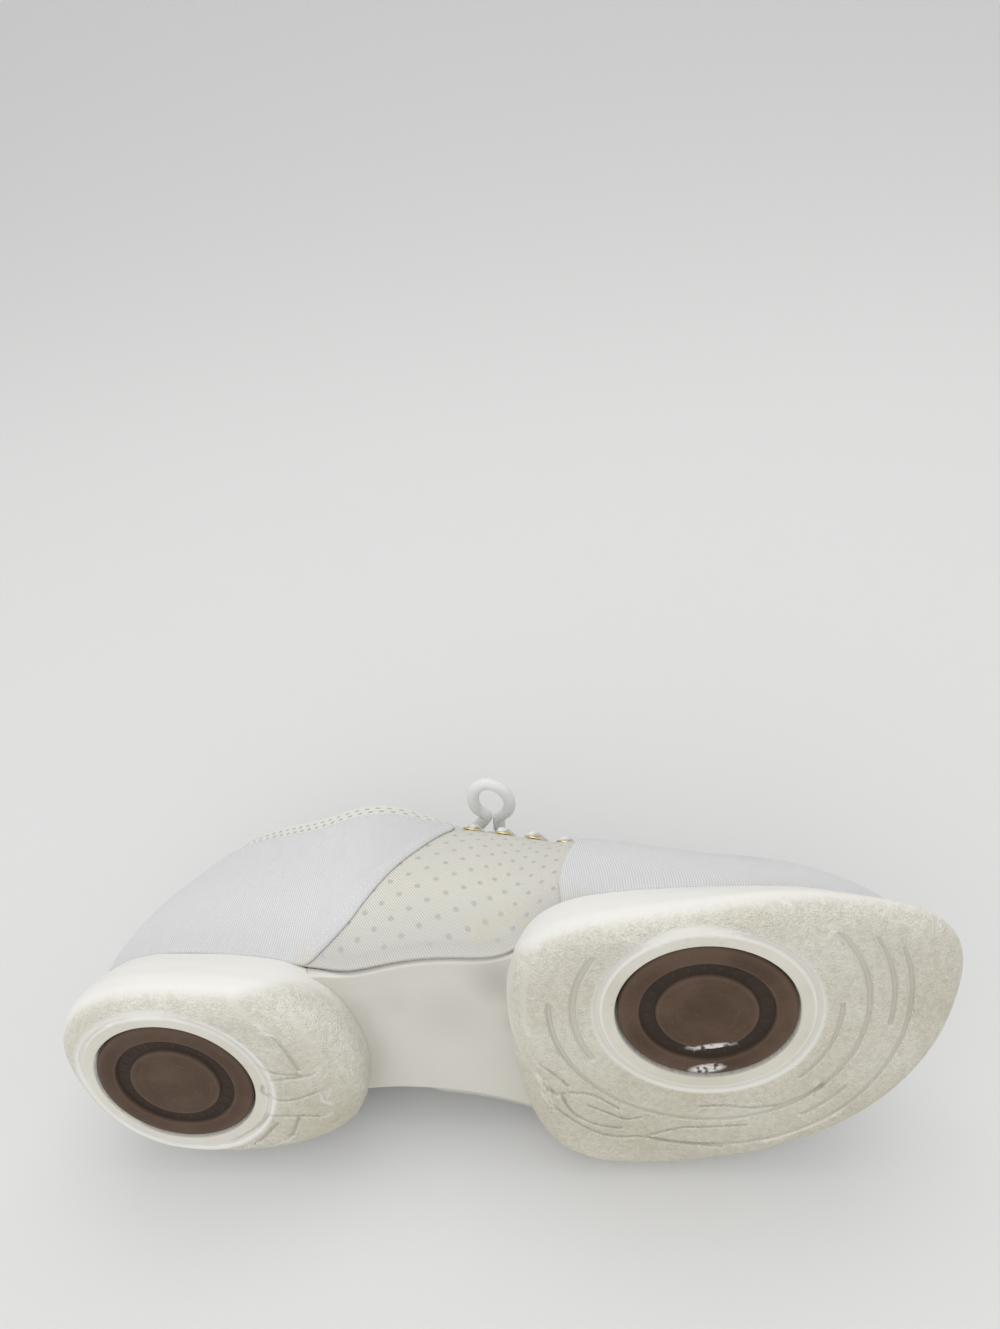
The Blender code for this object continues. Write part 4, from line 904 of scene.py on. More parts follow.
def smoothRoute(points, count):
    # Cubic curve through route points, read at count places; its slope at each point is half the
    # step between the point's neighbours
    points = np.asarray(points, float)
    padded = np.vstack([2 * points[0] - points[1], points, 2 * points[-1] - points[-2]])
    place = np.linspace(0, len(points) - 1 - 1e-9, count)
    i = place.astype(int)
    t = (place - i)[:, None]
    a, b, c, d = (padded[i + k] for k in range(4))
    return 0.5 * (2 * b + (c - a) * t + (2 * a - 5 * b + 4 * c - d) * t ** 2
                  + (3 * b - a - 3 * c + d) * t ** 3)


def padSideAt(height):
    # Inset and lean of a pad's side at a share of its height, smoothly between the table's rows
    table = np.array(padSide)
    spots = np.sqrt(table[:, 0])
    inset = np.interp(np.sqrt(height), spots, table[:, 1])
    lean = np.interp(height, table[:, 0], table[:, 2])
    return inset, lean


# Grid of a pad: lines round it, rows over its tread, and rows up its side as shares of its height
pad = {"around": 456, "treadRows": 167,
       "side": (0.003, 0.008, 0.016, 0.028, 0.044, 0.065, 0.09, 0.12, 0.16, 0.20, 0.25, 0.30,
                0.36, 0.42, 0.48, 0.55, 0.62, 0.69, 0.76, 0.83, 0.90, 0.95, 0.985)}


def makePad(name, outlineTable, discX, grooves, waves, soft, spots):
    # Pad as one closed grid: up the pocket's wall, out over the tread, up the side, over the top
    around = pad["around"]
    corners = np.array(outlineTable) * (sole["length"], sole["width"], sole["round"])
    knots = closedKnots(corners)
    fineLoop = closedSpline(knots, corners, np.arange(4000) * knots[-1] / 4000)
    outward = turnOutward(fineLoop[:, :2])
    softness = np.clip((fineLoop[:, 0] / sole["length"] - soft[0]) / (soft[1] - soft[0]), 0, 1)
    # each radial line of the grid starts at an even angle round the disc
    evenly = evenAngles(around)

    def ringAt(height):
        # The side's outline at a share of its height, read at even angles round the disc
        inset, lean = padSideAt(height)
        widen = 1 + soft[2] * softness * (height < 0.4)
        plan = fineLoop[:, :2] - outward * (inset * sole["round"] * widen
                                            + lean * fineLoop[:, 2])[:, None]
        angle = np.mod(np.arctan2(plan[:, 1], plan[:, 0] - discX), 2 * math.pi)
        order = np.argsort(angle)
        reach = np.hypot(plan[:, 0] - discX, plan[:, 1])[order]
        reach = np.interp(evenly, angle[order], reach, period=2 * math.pi)
        ring = np.column_stack([discX + reach * np.cos(evenly), reach * np.sin(evenly)])
        bottom = soleBottom(ring[:, 0])
        return np.column_stack([ring, bottom + height * (soleTop(ring[:, 0]) - bottom)])

    pocket = disc["radius"] + disc["clearance"]
    deep = disc["thickness"] + disc["recess"] + 0.3 * mm
    circle = np.column_stack([discX + pocket * np.cos(evenly), pocket * np.sin(evenly)])
    dot = np.column_stack([discX + 0.2 * mm * np.cos(evenly), 0.2 * mm * np.sin(evenly)])
    rows = [np.column_stack([plan, np.full(around, height)])
            for plan, height in ((dot, deep), (circle, deep), (circle, 0.8 * mm))]
    for lift, out in ((0.35, 0.05), (0.12, 0.2), (0.0, 0.45)):
        spread = 1 + out * mm / pocket
        rows.append(np.column_stack([(circle - (discX, 0)) * spread + (discX, 0),
                                     soleBottom(circle[:, 0]) + lift * mm]))
    start = rows[-1]
    edge = ringAt(0.0)
    for t in np.linspace(0, 1, pad["treadRows"] + 1)[1:]:
        plan = start[:, :2] + (edge[:, :2] - start[:, :2]) * t
        rows.append(np.column_stack([plan, soleBottom(plan[:, 0])]))
    tread = len(rows)
    for height in pad["side"]:
        rows.append(ringAt(height))
    top = ringAt(1.0)
    rows.append(top)
    middle = np.array([discX, 0])
    for t in (0.97, 0.6, 0.2, 0.004):
        plan = middle + (top[:, :2] - middle) * t
        rows.append(np.column_stack([plan, soleTop(plan[:, 0])]))
    points = np.array(rows)
    x, y, z = points[..., 0] - discX, points[..., 1], points[..., 2]
    treadZone = np.zeros(points.shape[:2])
    treadZone[5:tread] = 1
    treadZone[tread:tread + 4] = np.linspace(0.8, 0.1, 4)[:, None]
    depth, share = grooveAmount(x, y, grooves)
    flowing = waveAmount(x, y, waves)
    points[..., 2] += treadZone * (depth + flowing)
    radius = np.hypot(x, y)
    bare = 1 - smoothStep(1.155, 1.185, radius / disc["radius"])
    height = (z - soleBottom(points[..., 0])) / sole["stack"]
    # the worn face reaches further up the side that looks at the arch
    toArch = (points[..., 0] / sole["length"] - soft[0]) / (soft[1] - soft[0])
    facing = 0.30 * smoothStep(0, 1, toArch)
    grain = (smoothStep(1.26, 1.32, radius / disc["radius"])
             * (1 - smoothStep(0, 1, (height - 0.08 - facing) / (0.20 + facing))))
    soil = grain * 0.62 + bare * 0.58 * (radius > pocket)
    soil = soil + 0.22 * (1 - smoothStep(0.0, 0.25, height))
    soil = soil + grain * (0.12 + 0.35 * soft[2]) * smoothStep(-10 * mm, 45 * mm, y)
    grooved = np.clip(share + flowing / (0.5 * mm), 0, 1) * treadZone
    masks = {"grain": grain * (1 - share), "soil": soil, "groove": grooved,
             "smudge": spotMask(points, spots, 1.5)}
    poles = [[discX, 0, deep], [discX, 0, float(soleTop(discX))]]
    return finishRings(name, points, poles, masks)


forefootSpots = ((172, 44, 0, 4, 0.35), (196, 62, 0, 5, 0.25), (164, 8, 2, 4, 0.30),
                 (242, 38, 0, 1.2, 0.9), (151, 20, 8, 6, 0.25))
heelSpots = ((84, 22, 4, 5, 0.2), (30, -34, 8, 6, 0.12))
wear(makePad("forefoot_pad", forefootOutline, disc["forefootX"], forefootGrooves, forefootWaves,
             (0.60, 0.53, 0.1), forefootSpots), "tread", "foam", "forefoot_sole")
wear(makePad("heel_pad", heelOutline, disc["heelX"], heelGrooves, heelWaves, (0.24, 0.34, 0.6),
             heelSpots), "tread", "foam", "heel_sole")
print("pads made")


# Profile of a disc from its back to its centre: radius as a share, height in mm from the back,
# edge wear
discProfile = (
    (0.00, 4.00, 0), (0.985, 4.00, 0), (1.0, 3.85, 0), (1.0, 1.00, 0), (0.995, 0.60, 0.3),
    (0.978, 0.22, 0.8), (0.955, 0.05, 1.0), (0.935, 0.0, 0.5), (0.86, 0.0, 0.0), (0.79, 0.0, 0.1),
    (0.772, 0.04, 0.9), (0.762, 0.16, 0.7), (0.752, 0.62, 0.1), (0.742, 1.10, 0), (0.730, 1.20, 0),
    (0.600, 1.20, 0), (0.586, 1.10, 0), (0.576, 0.70, 0.1), (0.566, 0.30, 0.6),
    (0.552, 0.16, 1.0), (0.535, 0.14, 0.4), (0.50, 0.16, 0.0), (0.466, 0.17, 0.1),
    (0.455, 0.30, 1.0), (0.444, 0.17, 0.1),
    (0.38, 0.17, 0.0), (0.346, 0.17, 0.1), (0.335, 0.28, 0.8), (0.324, 0.17, 0.1), (0.2, 0.19, 0),
    (0.02, 0.20, 0),
)


# Ticks in the channel: step and half width in degrees, reach as shares of the radius, and rise
tick = {"step": 15, "half": 1.6, "inner": 0.63, "outer": 0.70, "rise": 0.35 * mm}


def makeDisc(name, discX, scuffs):
    # Turned disc; scuffs are x, y, half width, half height in mm and strength
    around = 192
    table = np.array(discProfile)
    fine = np.linspace(0, len(table) - 1, 6 * len(table) - 5)
    table = np.column_stack([np.interp(fine, np.arange(len(table)), table[:, k]) for k in range(3)])
    angle = evenAngles(around)
    radius = np.maximum(table[:, 0], 0.004)[:, None] * disc["radius"]
    x = discX + radius * np.cos(angle)
    y = radius * np.sin(angle)
    z = np.broadcast_to(disc["recess"] + table[:, 1:2] * mm, x.shape).copy()
    # short generic ticks in the sunk channel
    past = np.abs(np.mod(np.degrees(angle), tick["step"]) - tick["step"] / 2)
    channel = (table[:, 0] > tick["inner"]) & (table[:, 0] < tick["outer"])
    z -= (past < tick["half"])[None, :] * channel[:, None] * tick["rise"]
    edge = np.broadcast_to(table[:, 2:3], x.shape)
    # mask of the painted shade: high where the face is sunk deepest, inside the rim
    deep = smoothStep(0.5 * mm, 1.1 * mm, z - disc["recess"]) * (radius < 0.9 * disc["radius"])
    scuff = np.zeros(x.shape)
    points = np.stack([x, y, z], axis=-1)
    for sx, sy, wide, tall, amount in scuffs:
        gap = ((x - discX - sx * mm) / (wide * mm)) ** 2 + ((y - sy * mm) / (tall * mm)) ** 2
        scuff = np.maximum(scuff, amount * np.clip(1.5 * (1 - gap), 0, 1))
    poles = [[discX, 0, z[0, 0]], [discX, 0, z[-1, 0]]]
    return finishRings(name, points, poles, {"edge": edge, "scuff": scuff, "deep": deep})


forefootScuffs = ((-1.0, 14.2, 8.5, 1.9, 1.0), (-4.0, 22.6, 6.2, 2.2, 1.0))
wear(makeDisc("forefoot_disc", disc["forefootX"], forefootScuffs), "disc", "disc",
     "pivot_disc_forefoot")
wear(makeDisc("heel_disc", disc["heelX"], ()), "disc", "disc", "pivot_disc_heel")
print("discs made")


arch = {"back": 0.335, "front": 0.550, "lip": 1.3 * mm, "thickness": 3 * mm, "meet": 0.3 * mm,
        "reach": 0.8 * mm, "roll": 0.5 * mm, "rollWidth": 0.8 * mm,
        "lipRise": 0.30 * mm, "lipAt": 0.6 * mm, "lipWidth": 0.4 * mm,
        "hollow": 0.35 * mm, "hollowAt": 6 * mm, "hollowWidth": 4 * mm,
        "fillet": 0.8 * mm, "filletWidth": 2.2 * mm, "length": 60 * mm}

# Canvas panels: rib number, and the heights of the lower and upper edge
heelPanel = ((20.65, 0.76, 0.81), (21.0, 0.56, 0.84), (22.0, 0.20, 0.86), (22.6, 0.00, 0.86),
             (24.0, 0.00, 0.86), (25.5, 0.00, 0.86), (27.0, 0.00, 0.86), (28.5, 0.00, 0.86),
             (30.0, 0.00, 0.86), (30.4, 0.00, 0.86), (31.0, 0.20, 0.86), (31.8, 0.52, 0.84),
             (32.3, 0.74, 0.79))
toePanel = ((8.2, 0.00, 0.18), (8.4, 0.00, 0.40), (8.75, 0.00, 0.62), (9.2, 0.00, 0.76),
            (10.0, 0.00, 0.83), (11.5, 0.00, 0.87), (13.0, 0.00, 0.88), (14.5, 0.00, 0.87),
            (16.0, 0.00, 0.83), (16.8, 0.00, 0.78), (17.2, 0.00, 0.66), (17.55, 0.00, 0.40),
            (17.75, 0.00, 0.18))

# Yellow stains on the cloth, then a spot of painted shade by the heel pad's front: x, y, z and size
# in mm, and strength
clothStains = ((153.6, -20, 27, 6, 0.9), (144, -20, 28, 5, 0.6), (161.6, -23, 25, 5, 0.9),
               (84.7, -23, 24, 4, 1.0), (176, -33, 20, 5, 0.5), (240, -26, 18, 5, 0.35))
clothShade = ((96, -24, 26, 6, 0.3),)

# Foot of the cloth: share of the rib that is moved, sink at the pads and more at the arch, and
# how far past the plate's lip it laps; the arch's two sides as rib numbers where it fades in and out
tuck = {"height": 0.045, "sink": 1.15 * mm, "archSink": 2.5 * mm, "lap": 0.15 * mm,
        "sides": ((18.2, 18.9, 21.8, 22.5), (4.2, 4.9, 7.0, 7.7))}


def tuckFoot(rib, up, points):
    # Sinks the cloth's foot to the pads, in proportion to how low it lies, and laps it over the
    # arch plate's edge by the square root of the same share
    rib = np.mod(rib, len(ribs))
    beside = sum(smoothStep(a, b, rib) * (1 - smoothStep(c, d, rib)) for a, b, c, d in tuck["sides"])
    near = np.clip(1 - up / tuck["height"], 0, 1)
    out = unit(last.normal(rib, up) * (1, 1, 0))
    moved = points + out * (beside * np.sqrt(near) * (arch["lip"] + tuck["lap"]))[..., None]
    moved[..., 2] -= near * (tuck["sink"] + beside * tuck["archSink"])
    return moved


# Upper: points round it, rows outside, over the collar and inside; heights where the pinholes fade
# in and out and where the collar band starts; ribs between which the band is full, and its share
# elsewhere; height and strength of the painted shade at the foot
upper = {"around": 440, "rows": 92, "rim": 8, "liningRows": 30, "dotsLow": (0.02, 0.06),
         "dotsHigh": (0.80, 0.84), "band": (0.855, 0.87), "bandRibs": (5.3, 20.7),
         "bandFront": 0.35, "paintedShadeTo": 0.34, "paintedShade": 0.95}


def makeUpper():
    # One closed grid: up the outer face, over the collar in a half circle, down the lining
    around, upRows, rim, innerRows = (upper[key] for key in ("around", "rows", "rim", "liningRows"))
    ribNumbers = last.ribsEvenly(around)
    heights = 1 - (1 - np.linspace(0, 1, upRows)) ** 1.15
    rib, up = np.meshgrid(ribNumbers, heights)
    outer = tuckFoot(rib, up, last.offset(rib, up, 0.0))
    crown = last.bare(ribNumbers, np.ones(around))
    normal = last.normal(ribNumbers, np.ones(around))
    rise = unit(crown - last.bare(ribNumbers, np.full(around, 0.985)))
    rows = [outer]
    half = cloth["wall"] / 2
    for turn in np.radians(np.linspace(0, 180, rim + 2)[1:-1]):
        rolled = normal * (math.cos(turn) - 1) + rise * math.sin(turn)
        rows.append((crown + rolled * half)[None])
    innerHeights = np.linspace(1, 0, innerRows)
    ribIn, upIn = np.meshgrid(ribNumbers, innerHeights)
    inner = last.offset(ribIn, upIn, -cloth["wall"])
    rows.append(inner)
    points = np.vstack(rows)
    count = len(points)
    reach = np.linalg.norm(np.diff(points, axis=0), axis=2).mean(axis=1)
    v = np.concatenate([[0], np.cumsum(reach)])
    u = np.concatenate([last.knot(ribNumbers), [last.knots[-1]]])
    v = np.append(v, v[-1] + cloth["wall"])
    uvGrid = np.stack(np.broadcast_arrays(u[None, :], v[:, None]), axis=-1)
    upAll = np.concatenate([heights, np.full(rim, 1.0), np.full(innerRows, 0.0)])[:, None]
    isOuter = np.concatenate([np.ones(upRows), np.zeros(rim + innerRows)])[:, None]
    walk = np.linalg.norm(np.diff(outer, axis=0), axis=2)[::-1]
    fromRim = np.vstack([np.zeros((1, around)), np.cumsum(walk, axis=0)])[::-1]
    fromRim = np.vstack([fromRim, np.zeros((rim, around)), np.ones((innerRows, around))])
    dots = isOuter * smoothStep(*upper["dotsLow"], upAll)
    dots = dots * (1 - smoothStep(*upper["dotsHigh"], upAll))
    dots = np.broadcast_to(dots, points.shape[:2])
    band = smoothStep(*upper["band"], upAll) * np.ones((1, around))
    band[upRows:upRows + rim] = 1
    ribGrid = np.broadcast_to(ribNumbers, points.shape[:2])
    behind = (ribGrid < upper["bandRibs"][0]) | (ribGrid > upper["bandRibs"][1])
    band = band * np.where(behind, 1, upper["bandFront"])
    faces = gridFaces(count, around, closedRows=True, closedCols=True)[:, ::-1]
    uv = cornerUv(count, around, uvGrid, closedRows=True, closedCols=True).reshape(-1, 4, 2)
    # painted shade: the outer cloth is greyed towards its foot, where it meets the sole
    low = upper["paintedShade"] * isOuter * (1 - smoothStep(0.0, upper["paintedShadeTo"], upAll))
    return finishMesh("upper_shell", points.reshape(-1, 3), faces, uv[:, ::-1].reshape(-1, 2),
                      {"dots": dots, "band": band, "fromRim": fromRim,
                       "stain": spotMask(points, clothStains),
                       "shade": spotMask(points, clothShade) + low})


wear(makeUpper(), "mesh", "mesh", "upper")
print("upper made")


panel = {"height": 80 * mm, "step": 14 * mm, "rollAt": 70 * mm, "roll": 0.8 * mm,
         "seamIn": 2.2 * mm, "seamWidth": 0.5 * mm, "pucker": 0.10 * mm}


def makePanel(name, table, across, tall):
    # Slab between two offsets of the upper: its edges roll over in a quarter circle, and a bell
    # of the distance from the edge pulls the face in along the seam
    table = np.array(table)
    along = np.linspace(table[0, 0], table[-1, 0], across)
    low = np.interp(along, table[:, 0], table[:, 1])
    high = np.interp(along, table[:, 0], table[:, 2])
    kernel = np.ones(5) / 5
    low[3:-3] = np.convolve(low, kernel, "same")[3:-3]
    high[3:-3] = np.convolve(high, kernel, "same")[3:-3]
    share = np.linspace(0, 1, tall)
    up = low + (high - low) * share[:, None]
    rib = np.broadcast_to(along, up.shape)
    near = last.offset(rib, up, cloth["panelGap"] * 0.4)
    edge = np.minimum(share, 1 - share)[:, None] * (high - low) * panel["rollAt"]
    ends = np.minimum(along - along[0], along[-1] - along)[None, :] * panel["step"]
    inside = np.minimum(edge, ends)
    swell = np.sqrt(1 - (1 - np.clip(inside / panel["roll"], 0, 1)) ** 2)
    pucker = panel["pucker"] * np.exp(-((inside - panel["seamIn"]) / panel["seamWidth"]) ** 2)
    far = last.offset(rib, up, cloth["panelGap"] + cloth["panel"] * (0.35 + 0.65 * swell) - pucker)
    near, far = tuckFoot(rib, up, near), tuckFoot(rib, up, far)
    points = np.vstack([near, far[::-1]])
    count = len(points)
    v = up * panel["height"]
    u = lengthAlong(far[0])[None, :]
    uvGrid = np.stack(np.broadcast_arrays(u, np.vstack([v, v[::-1], v[:1]])), axis=-1)
    uv = cornerUv(count, across, uvGrid, closedRows=True)
    # the two short ends are closed by strips between the near and far side
    faces = [gridFaces(count, across, closedRows=True)]
    k = np.arange(tall - 1) * across
    for column in (0, across - 1):
        a, c = k + column, (count - 2) * across - k + column
        b, d = a + across, c + across
        faces.append(np.column_stack((a, b, c, d) if column else (a, d, c, b)))
    endUv = np.column_stack([np.zeros(4), np.arange(4) * mm])
    uv = np.vstack([uv, np.tile(endUv, (2 * (tall - 1), 1))])
    faces = np.vstack(faces)
    flat = points.reshape(-1, 3)
    outFaces = outwardFaces(flat, faces)
    if outFaces is not faces:
        uv = uv.reshape(-1, 4, 2)[:, ::-1].reshape(-1, 2)
    # painted shade: the panel is greyed towards its foot, where it meets the sole
    low = 0.4 * (1 - smoothStep(0.0, 0.30, np.vstack([up, up[::-1]])))
    return finishMesh(name, flat, outFaces, uv, {"stain": spotMask(points, clothStains),
                                                 "shade": spotMask(points, clothShade) + low})


wear(makePanel("heel_canvas", heelPanel, 260, 60), "canvas", "canvas", "heel_panel")
wear(makePanel("toe_canvas", toePanel, 300, 60), "canvas", "canvas", "toe_panel")
print("panels made")


def featherSide(x, medial):
    # Across position of the upper's foot on one side, at places along
    foot = last.bare(np.linspace(0, len(ribs), 800, endpoint=False), np.zeros(800))[:, :2]
    side = foot[foot[:, 1] < 0] if medial else foot[foot[:, 1] > 0]
    side = side[np.argsort(side[:, 0])]
    return np.interp(x, side[:, 0], side[:, 1])


def archEnd(table, facing, first, lastPoint, inset, count):
    # The half of a pad's outline that faces the arch, pulled in and read at even steps across
    corners = np.array(table)[:, :2] * (sole["length"], sole["width"])
    knots = closedKnots(corners)
    loop = closedSpline(knots, corners, np.arange(2400) * knots[-1] / 2400)
    loop = loop + turnOutward(loop) * -inset
    middle = loop[:, 0].mean()
    face = loop[(loop[:, 0] - middle) * facing > 0]
    face = face[np.argsort(face[:, 1])]
    y = np.linspace(first, lastPoint, count)
    return np.column_stack([np.interp(y, face[:, 1], face[:, 0]), y])


archSmudges = ((147, -9, 16, 9, 0.8), (128, 2, 16, 14, 0.35), (112, -6, 18, 9, 0.3),
               (150, 10, 18, 6, 0.5))


def makeArchPlate():
    # Patch blended between both pads' ends and the cloth's two feet, less what its corners count
    # twice, and thickened; bells of the distance from the medial edge raise the lip and sink the
    # hollow beside it
    across, alongCount = 110, 150
    clear = 0.08 * sole["round"] + arch["meet"] + arch["reach"]
    ends = []
    for table, facing, reach in ((heelOutline, 1, arch["back"]),
                                 (forefootOutline, -1, arch["front"])):
        x = reach * sole["length"]
        ends.append(archEnd(table, facing, float(featherSide(x, True)) - arch["lip"],
                            float(featherSide(x, False)) + arch["lip"], clear, across))
    back, front = ends
    a = np.linspace(0, 1, alongCount)[:, None, None]
    b = np.linspace(0, 1, across)[None, :, None]
    edges = []
    for corner, medial in ((0, True), (-1, False)):
        x = np.linspace(back[corner, 0], front[corner, 0], alongCount)
        y = featherSide(x, medial) + (-arch["lip"] if medial else arch["lip"])
        share = np.linspace(0, 1, alongCount)
        y = y + (1 - share) * (back[corner, 1] - y[0]) + share * (front[corner, 1] - y[-1])
        edges.append(np.column_stack([x, y]))
    cornersPatch = ((1 - a) * ((1 - b) * back[0] + b * back[-1])
                    + a * ((1 - b) * front[0] + b * front[-1]))
    plan = ((1 - a) * back[None] + a * front[None] + (1 - b) * edges[0][:, None]
            + b * edges[1][:, None] - cornersPatch)
    top = soleTop(plan[..., 0])
    width = np.linalg.norm(plan[:, -1] - plan[:, 0], axis=1)[:, None]
    fromMedial = b[..., 0] * width
    fromEdge = np.minimum(b[..., 0], 1 - b[..., 0]) * width
    beyond = np.clip(1 - fromEdge / arch["rollWidth"], 0, 1)
    roll = arch["roll"] * (1 - np.sqrt(1 - beyond ** 2))
    lip = arch["lipRise"] * np.exp(-((fromMedial - arch["lipAt"]) / arch["lipWidth"]) ** 2)
    hollow = arch["hollow"] * np.exp(-((fromMedial - arch["hollowAt"]) / arch["hollowWidth"]) ** 2)
    # the skin rises softly where it meets each pad
    fromEnds = np.minimum(a[..., 0], 1 - a[..., 0]) * arch["length"]
    fillet = arch["fillet"] * np.exp(-(fromEnds / arch["filletWidth"]) ** 2)
    bottom = top - arch["thickness"] + roll - lip + hollow - fillet
    near = np.dstack([plan, np.broadcast_to(top, bottom.shape)])
    far = np.dstack([plan, bottom])
    points = np.concatenate([near, far[:, ::-1]], axis=1)
    zero = np.zeros(points.shape[:2])
    inside = np.concatenate([fromMedial, fromMedial[:, ::-1]], axis=1)
    soil = 0.18 * (1 - np.exp(-(inside / (1.6 * mm)) ** 2))
    return finishMesh("arch_skin", points.reshape(-1, 3), slabFaces(points, across),
                      masks={"grain": zero, "soil": soil, "groove": zero,
                             "smudge": spotMask(points, archSmudges)})


wear(makeArchPlate(), "arch", "rubber", "arch_plate")
print("arch made")


insole = {"thick": 3.5 * mm, "clear": 1.0 * mm, "lift": 0.8 * mm}


def makeInsole():
    # Sock of the shoe: the feather edge's outline pulled in past the wall, with a rounded rim
    around = 260
    numbers = last.ribsEvenly(around)
    foot = last.bare(numbers, np.zeros(around))[:, :2]
    outward = turnOutward(foot)
    above = last.bare(numbers, np.full(around, 0.06))[:, :2]
    leaning = np.minimum(0, np.einsum("ij,ij->i", above - foot, outward))
    thick, lowest = insole["thick"], insole["lift"]
    rings = []
    for inset, lift in ((0.0, 0.0), (0.0, 0.5), (0.08, 0.75), (0.3, 0.95), (0.6, 1.0)):
        inwards = cloth["wall"] + insole["clear"] + inset * thick - leaning
        plan = foot - outward * inwards[:, None]
        rings.append(np.column_stack([plan, soleTop(plan[:, 0]) + lowest + lift * thick]))
    spine = np.column_stack([np.clip(rings[-1][:, 0], 22 * mm, 252 * mm), np.zeros(around)])
    spine[:, 1] = np.interp(spine[:, 0], (0, 0.3 * sole["length"], 0.75 * sole["length"],
                                          sole["length"]), (0, 0, 14 * mm, 5 * mm))
    for share in (0.75, 0.5, 0.25, 0.003):
        plan = spine + (rings[4][:, :2] - spine) * share
        rings.append(np.column_stack([plan, soleTop(plan[:, 0]) + lowest + thick]))
    for share in (0.003, 0.5):
        plan = spine + (rings[0][:, :2] - spine) * share
        rings.append(np.column_stack([plan, soleTop(plan[:, 0]) + lowest]))
    points = np.array(rings)
    flat = points.reshape(-1, 3)
    faces = outwardFaces(flat, gridFaces(len(points), around, closedRows=True, closedCols=True))
    corners = flat[faces][..., :2].reshape(-1, 2)
    return finishMesh("insole_sock", flat, faces, corners)


wear(makeInsole(), "lining", "lining", "insole")

topRibs = {"lateral": 5.0, "medial": 21.0}
frontRibs = {"lateral": 9.6, "medial": 16.4}


def resample(rows, count):
    # Smooth curve through each row's points, read at count places
    return np.array([smoothRoute(row, count) for row in rows])


tongue = {"under": 1.3 * mm, "thick": 2.5 * mm, "rise": 17 * mm, "arch": 1.2 * mm,
          "long": 95 * mm, "wide": 50 * mm}


def makeTongue():
    # Padded sheet just inside the upper: rows from one side of the throat to the other, with an
    # arched middle, then rows that rise past the top; its edges roll in a quarter circle
    deep = cloth["wall"] + tongue["under"]
    rows = []
    front = np.array(((9.9, 0.86), (10.9, 0.91), (12.0, 0.93), (13.0, 0.93), (14.1, 0.93),
                      (15.1, 0.91), (16.1, 0.86)))
    rows.append(last.offset(front[:, 0], front[:, 1], -deep - 1.5 * mm))
    for share in np.linspace(0, 1, 8):
        lateral = frontRibs["lateral"] + (topRibs["lateral"] - frontRibs["lateral"]) * share
        medial = frontRibs["medial"] + (topRibs["medial"] - frontRibs["medial"]) * share
        left = [last.offset(lateral, u, -deep) for u in (0.86, 0.93, 1.0)]
        right = [last.offset(medial, u, -deep) for u in (1.0, 0.93, 0.86)]
        middle = (left[-1] + right[0]) / 2
        middle[2] += tongue["arch"]
        rows.append(np.array(left + [middle] + right))
    lean = unit((rows[-1] - rows[-2]).mean(axis=0))
    for share in (0.5, 1.0):
        rounded = 1 - 0.5 * np.abs(np.linspace(-1, 1, 7)) ** 2.5
        row = rows[8] + lean * tongue["rise"] * share * rounded[:, None]
        row[:, 1] = row[3, 1] + (rows[8][:, 1] - rows[8][3, 1]) * (1 - 0.10 * share)
        rows.append(row)
    near = resample(rows, 49)
    near = resample(near.transpose(1, 0, 2), 90).transpose(1, 0, 2)
    normal = unit(np.cross(np.gradient(near, axis=0), np.gradient(near, axis=1)))
    if normal[..., 2].mean() > 0:
        normal = -normal
    countU, countV = near.shape[:2]
    i = np.linspace(0, 1, countU)[:, None]
    j = np.linspace(0, 1, countV)[None, :]
    edge = np.minimum(np.minimum(j, 1 - j) * 60, np.minimum(1 - i, 0.2) * 110)
    swell = np.sqrt(1 - (1 - np.clip(edge / 1.3, 0, 1)) ** 2)
    seam = 0.35 * np.exp(-((edge - 2.6) / 0.5) ** 2)
    thick = tongue["thick"]
    far = near + normal * (thick * (0.62 + 0.38 * swell) - seam * mm)[..., None]
    near = near + normal * (thick * 0.38 * (1 - swell))[..., None]
    points = np.concatenate([near, far[:, ::-1]], axis=1)
    faces = slabFaces(points, countV)
    u = np.linspace(0, tongue["long"], countU)[:, None]
    v = np.linspace(0, tongue["wide"], countV)
    v = np.concatenate([v, v[::-1]])[None, :]
    uv = np.stack(np.broadcast_arrays(u, v), axis=-1).reshape(-1, 2)[faces.ravel()]
    return finishMesh("tongue_cloth", points.reshape(-1, 3), faces, uv)


wear(makeTongue(), "tongue", "mesh", "tongue")
print("insole and tongue made")


eyelet = {"flange": 3.5 * mm, "hole": 1.6 * mm, "wall": 0.5 * mm, "rise": 0.6 * mm, "pairs": 5,
          "inset": 6.5 * mm}
lace = {"diameter": 3.3 * mm, "clearance": 1.2 * mm, "sag": 0.8 * mm, "turn": 0.12,
        "knot": 4.2 * mm, "reach": 35 * mm, "meet": 0.3 * mm,
        "width": 4.8 * mm, "flat": 0.42}
knotShape = (1.0, 1.15, 0.8)


def eyeletPlaces():
    # Even steps of the rib number along each side of the throat, at one distance from its rim
    places = {}
    for side, front, top in (("lateral", frontRibs["lateral"] - 0.5, topRibs["lateral"] + 0.65),
                             ("medial", frontRibs["medial"] + 0.5, topRibs["medial"] - 0.65)):
        for k in range(eyelet["pairs"]):
            rib = front + (top - front) * k / (eyelet["pairs"] - 1)
            places[side, k] = (rib, last.upFromCrown(rib, eyelet["inset"]))
    return places


places = eyeletPlaces()


def ringBetween(normal):
    # Two unit vectors across a direction
    helper = (1.0, 0, 0) if abs(normal[0]) < 0.8 else (0, 1.0, 0)
    one = unit(np.cross(normal, helper))
    return one, np.cross(normal, one)


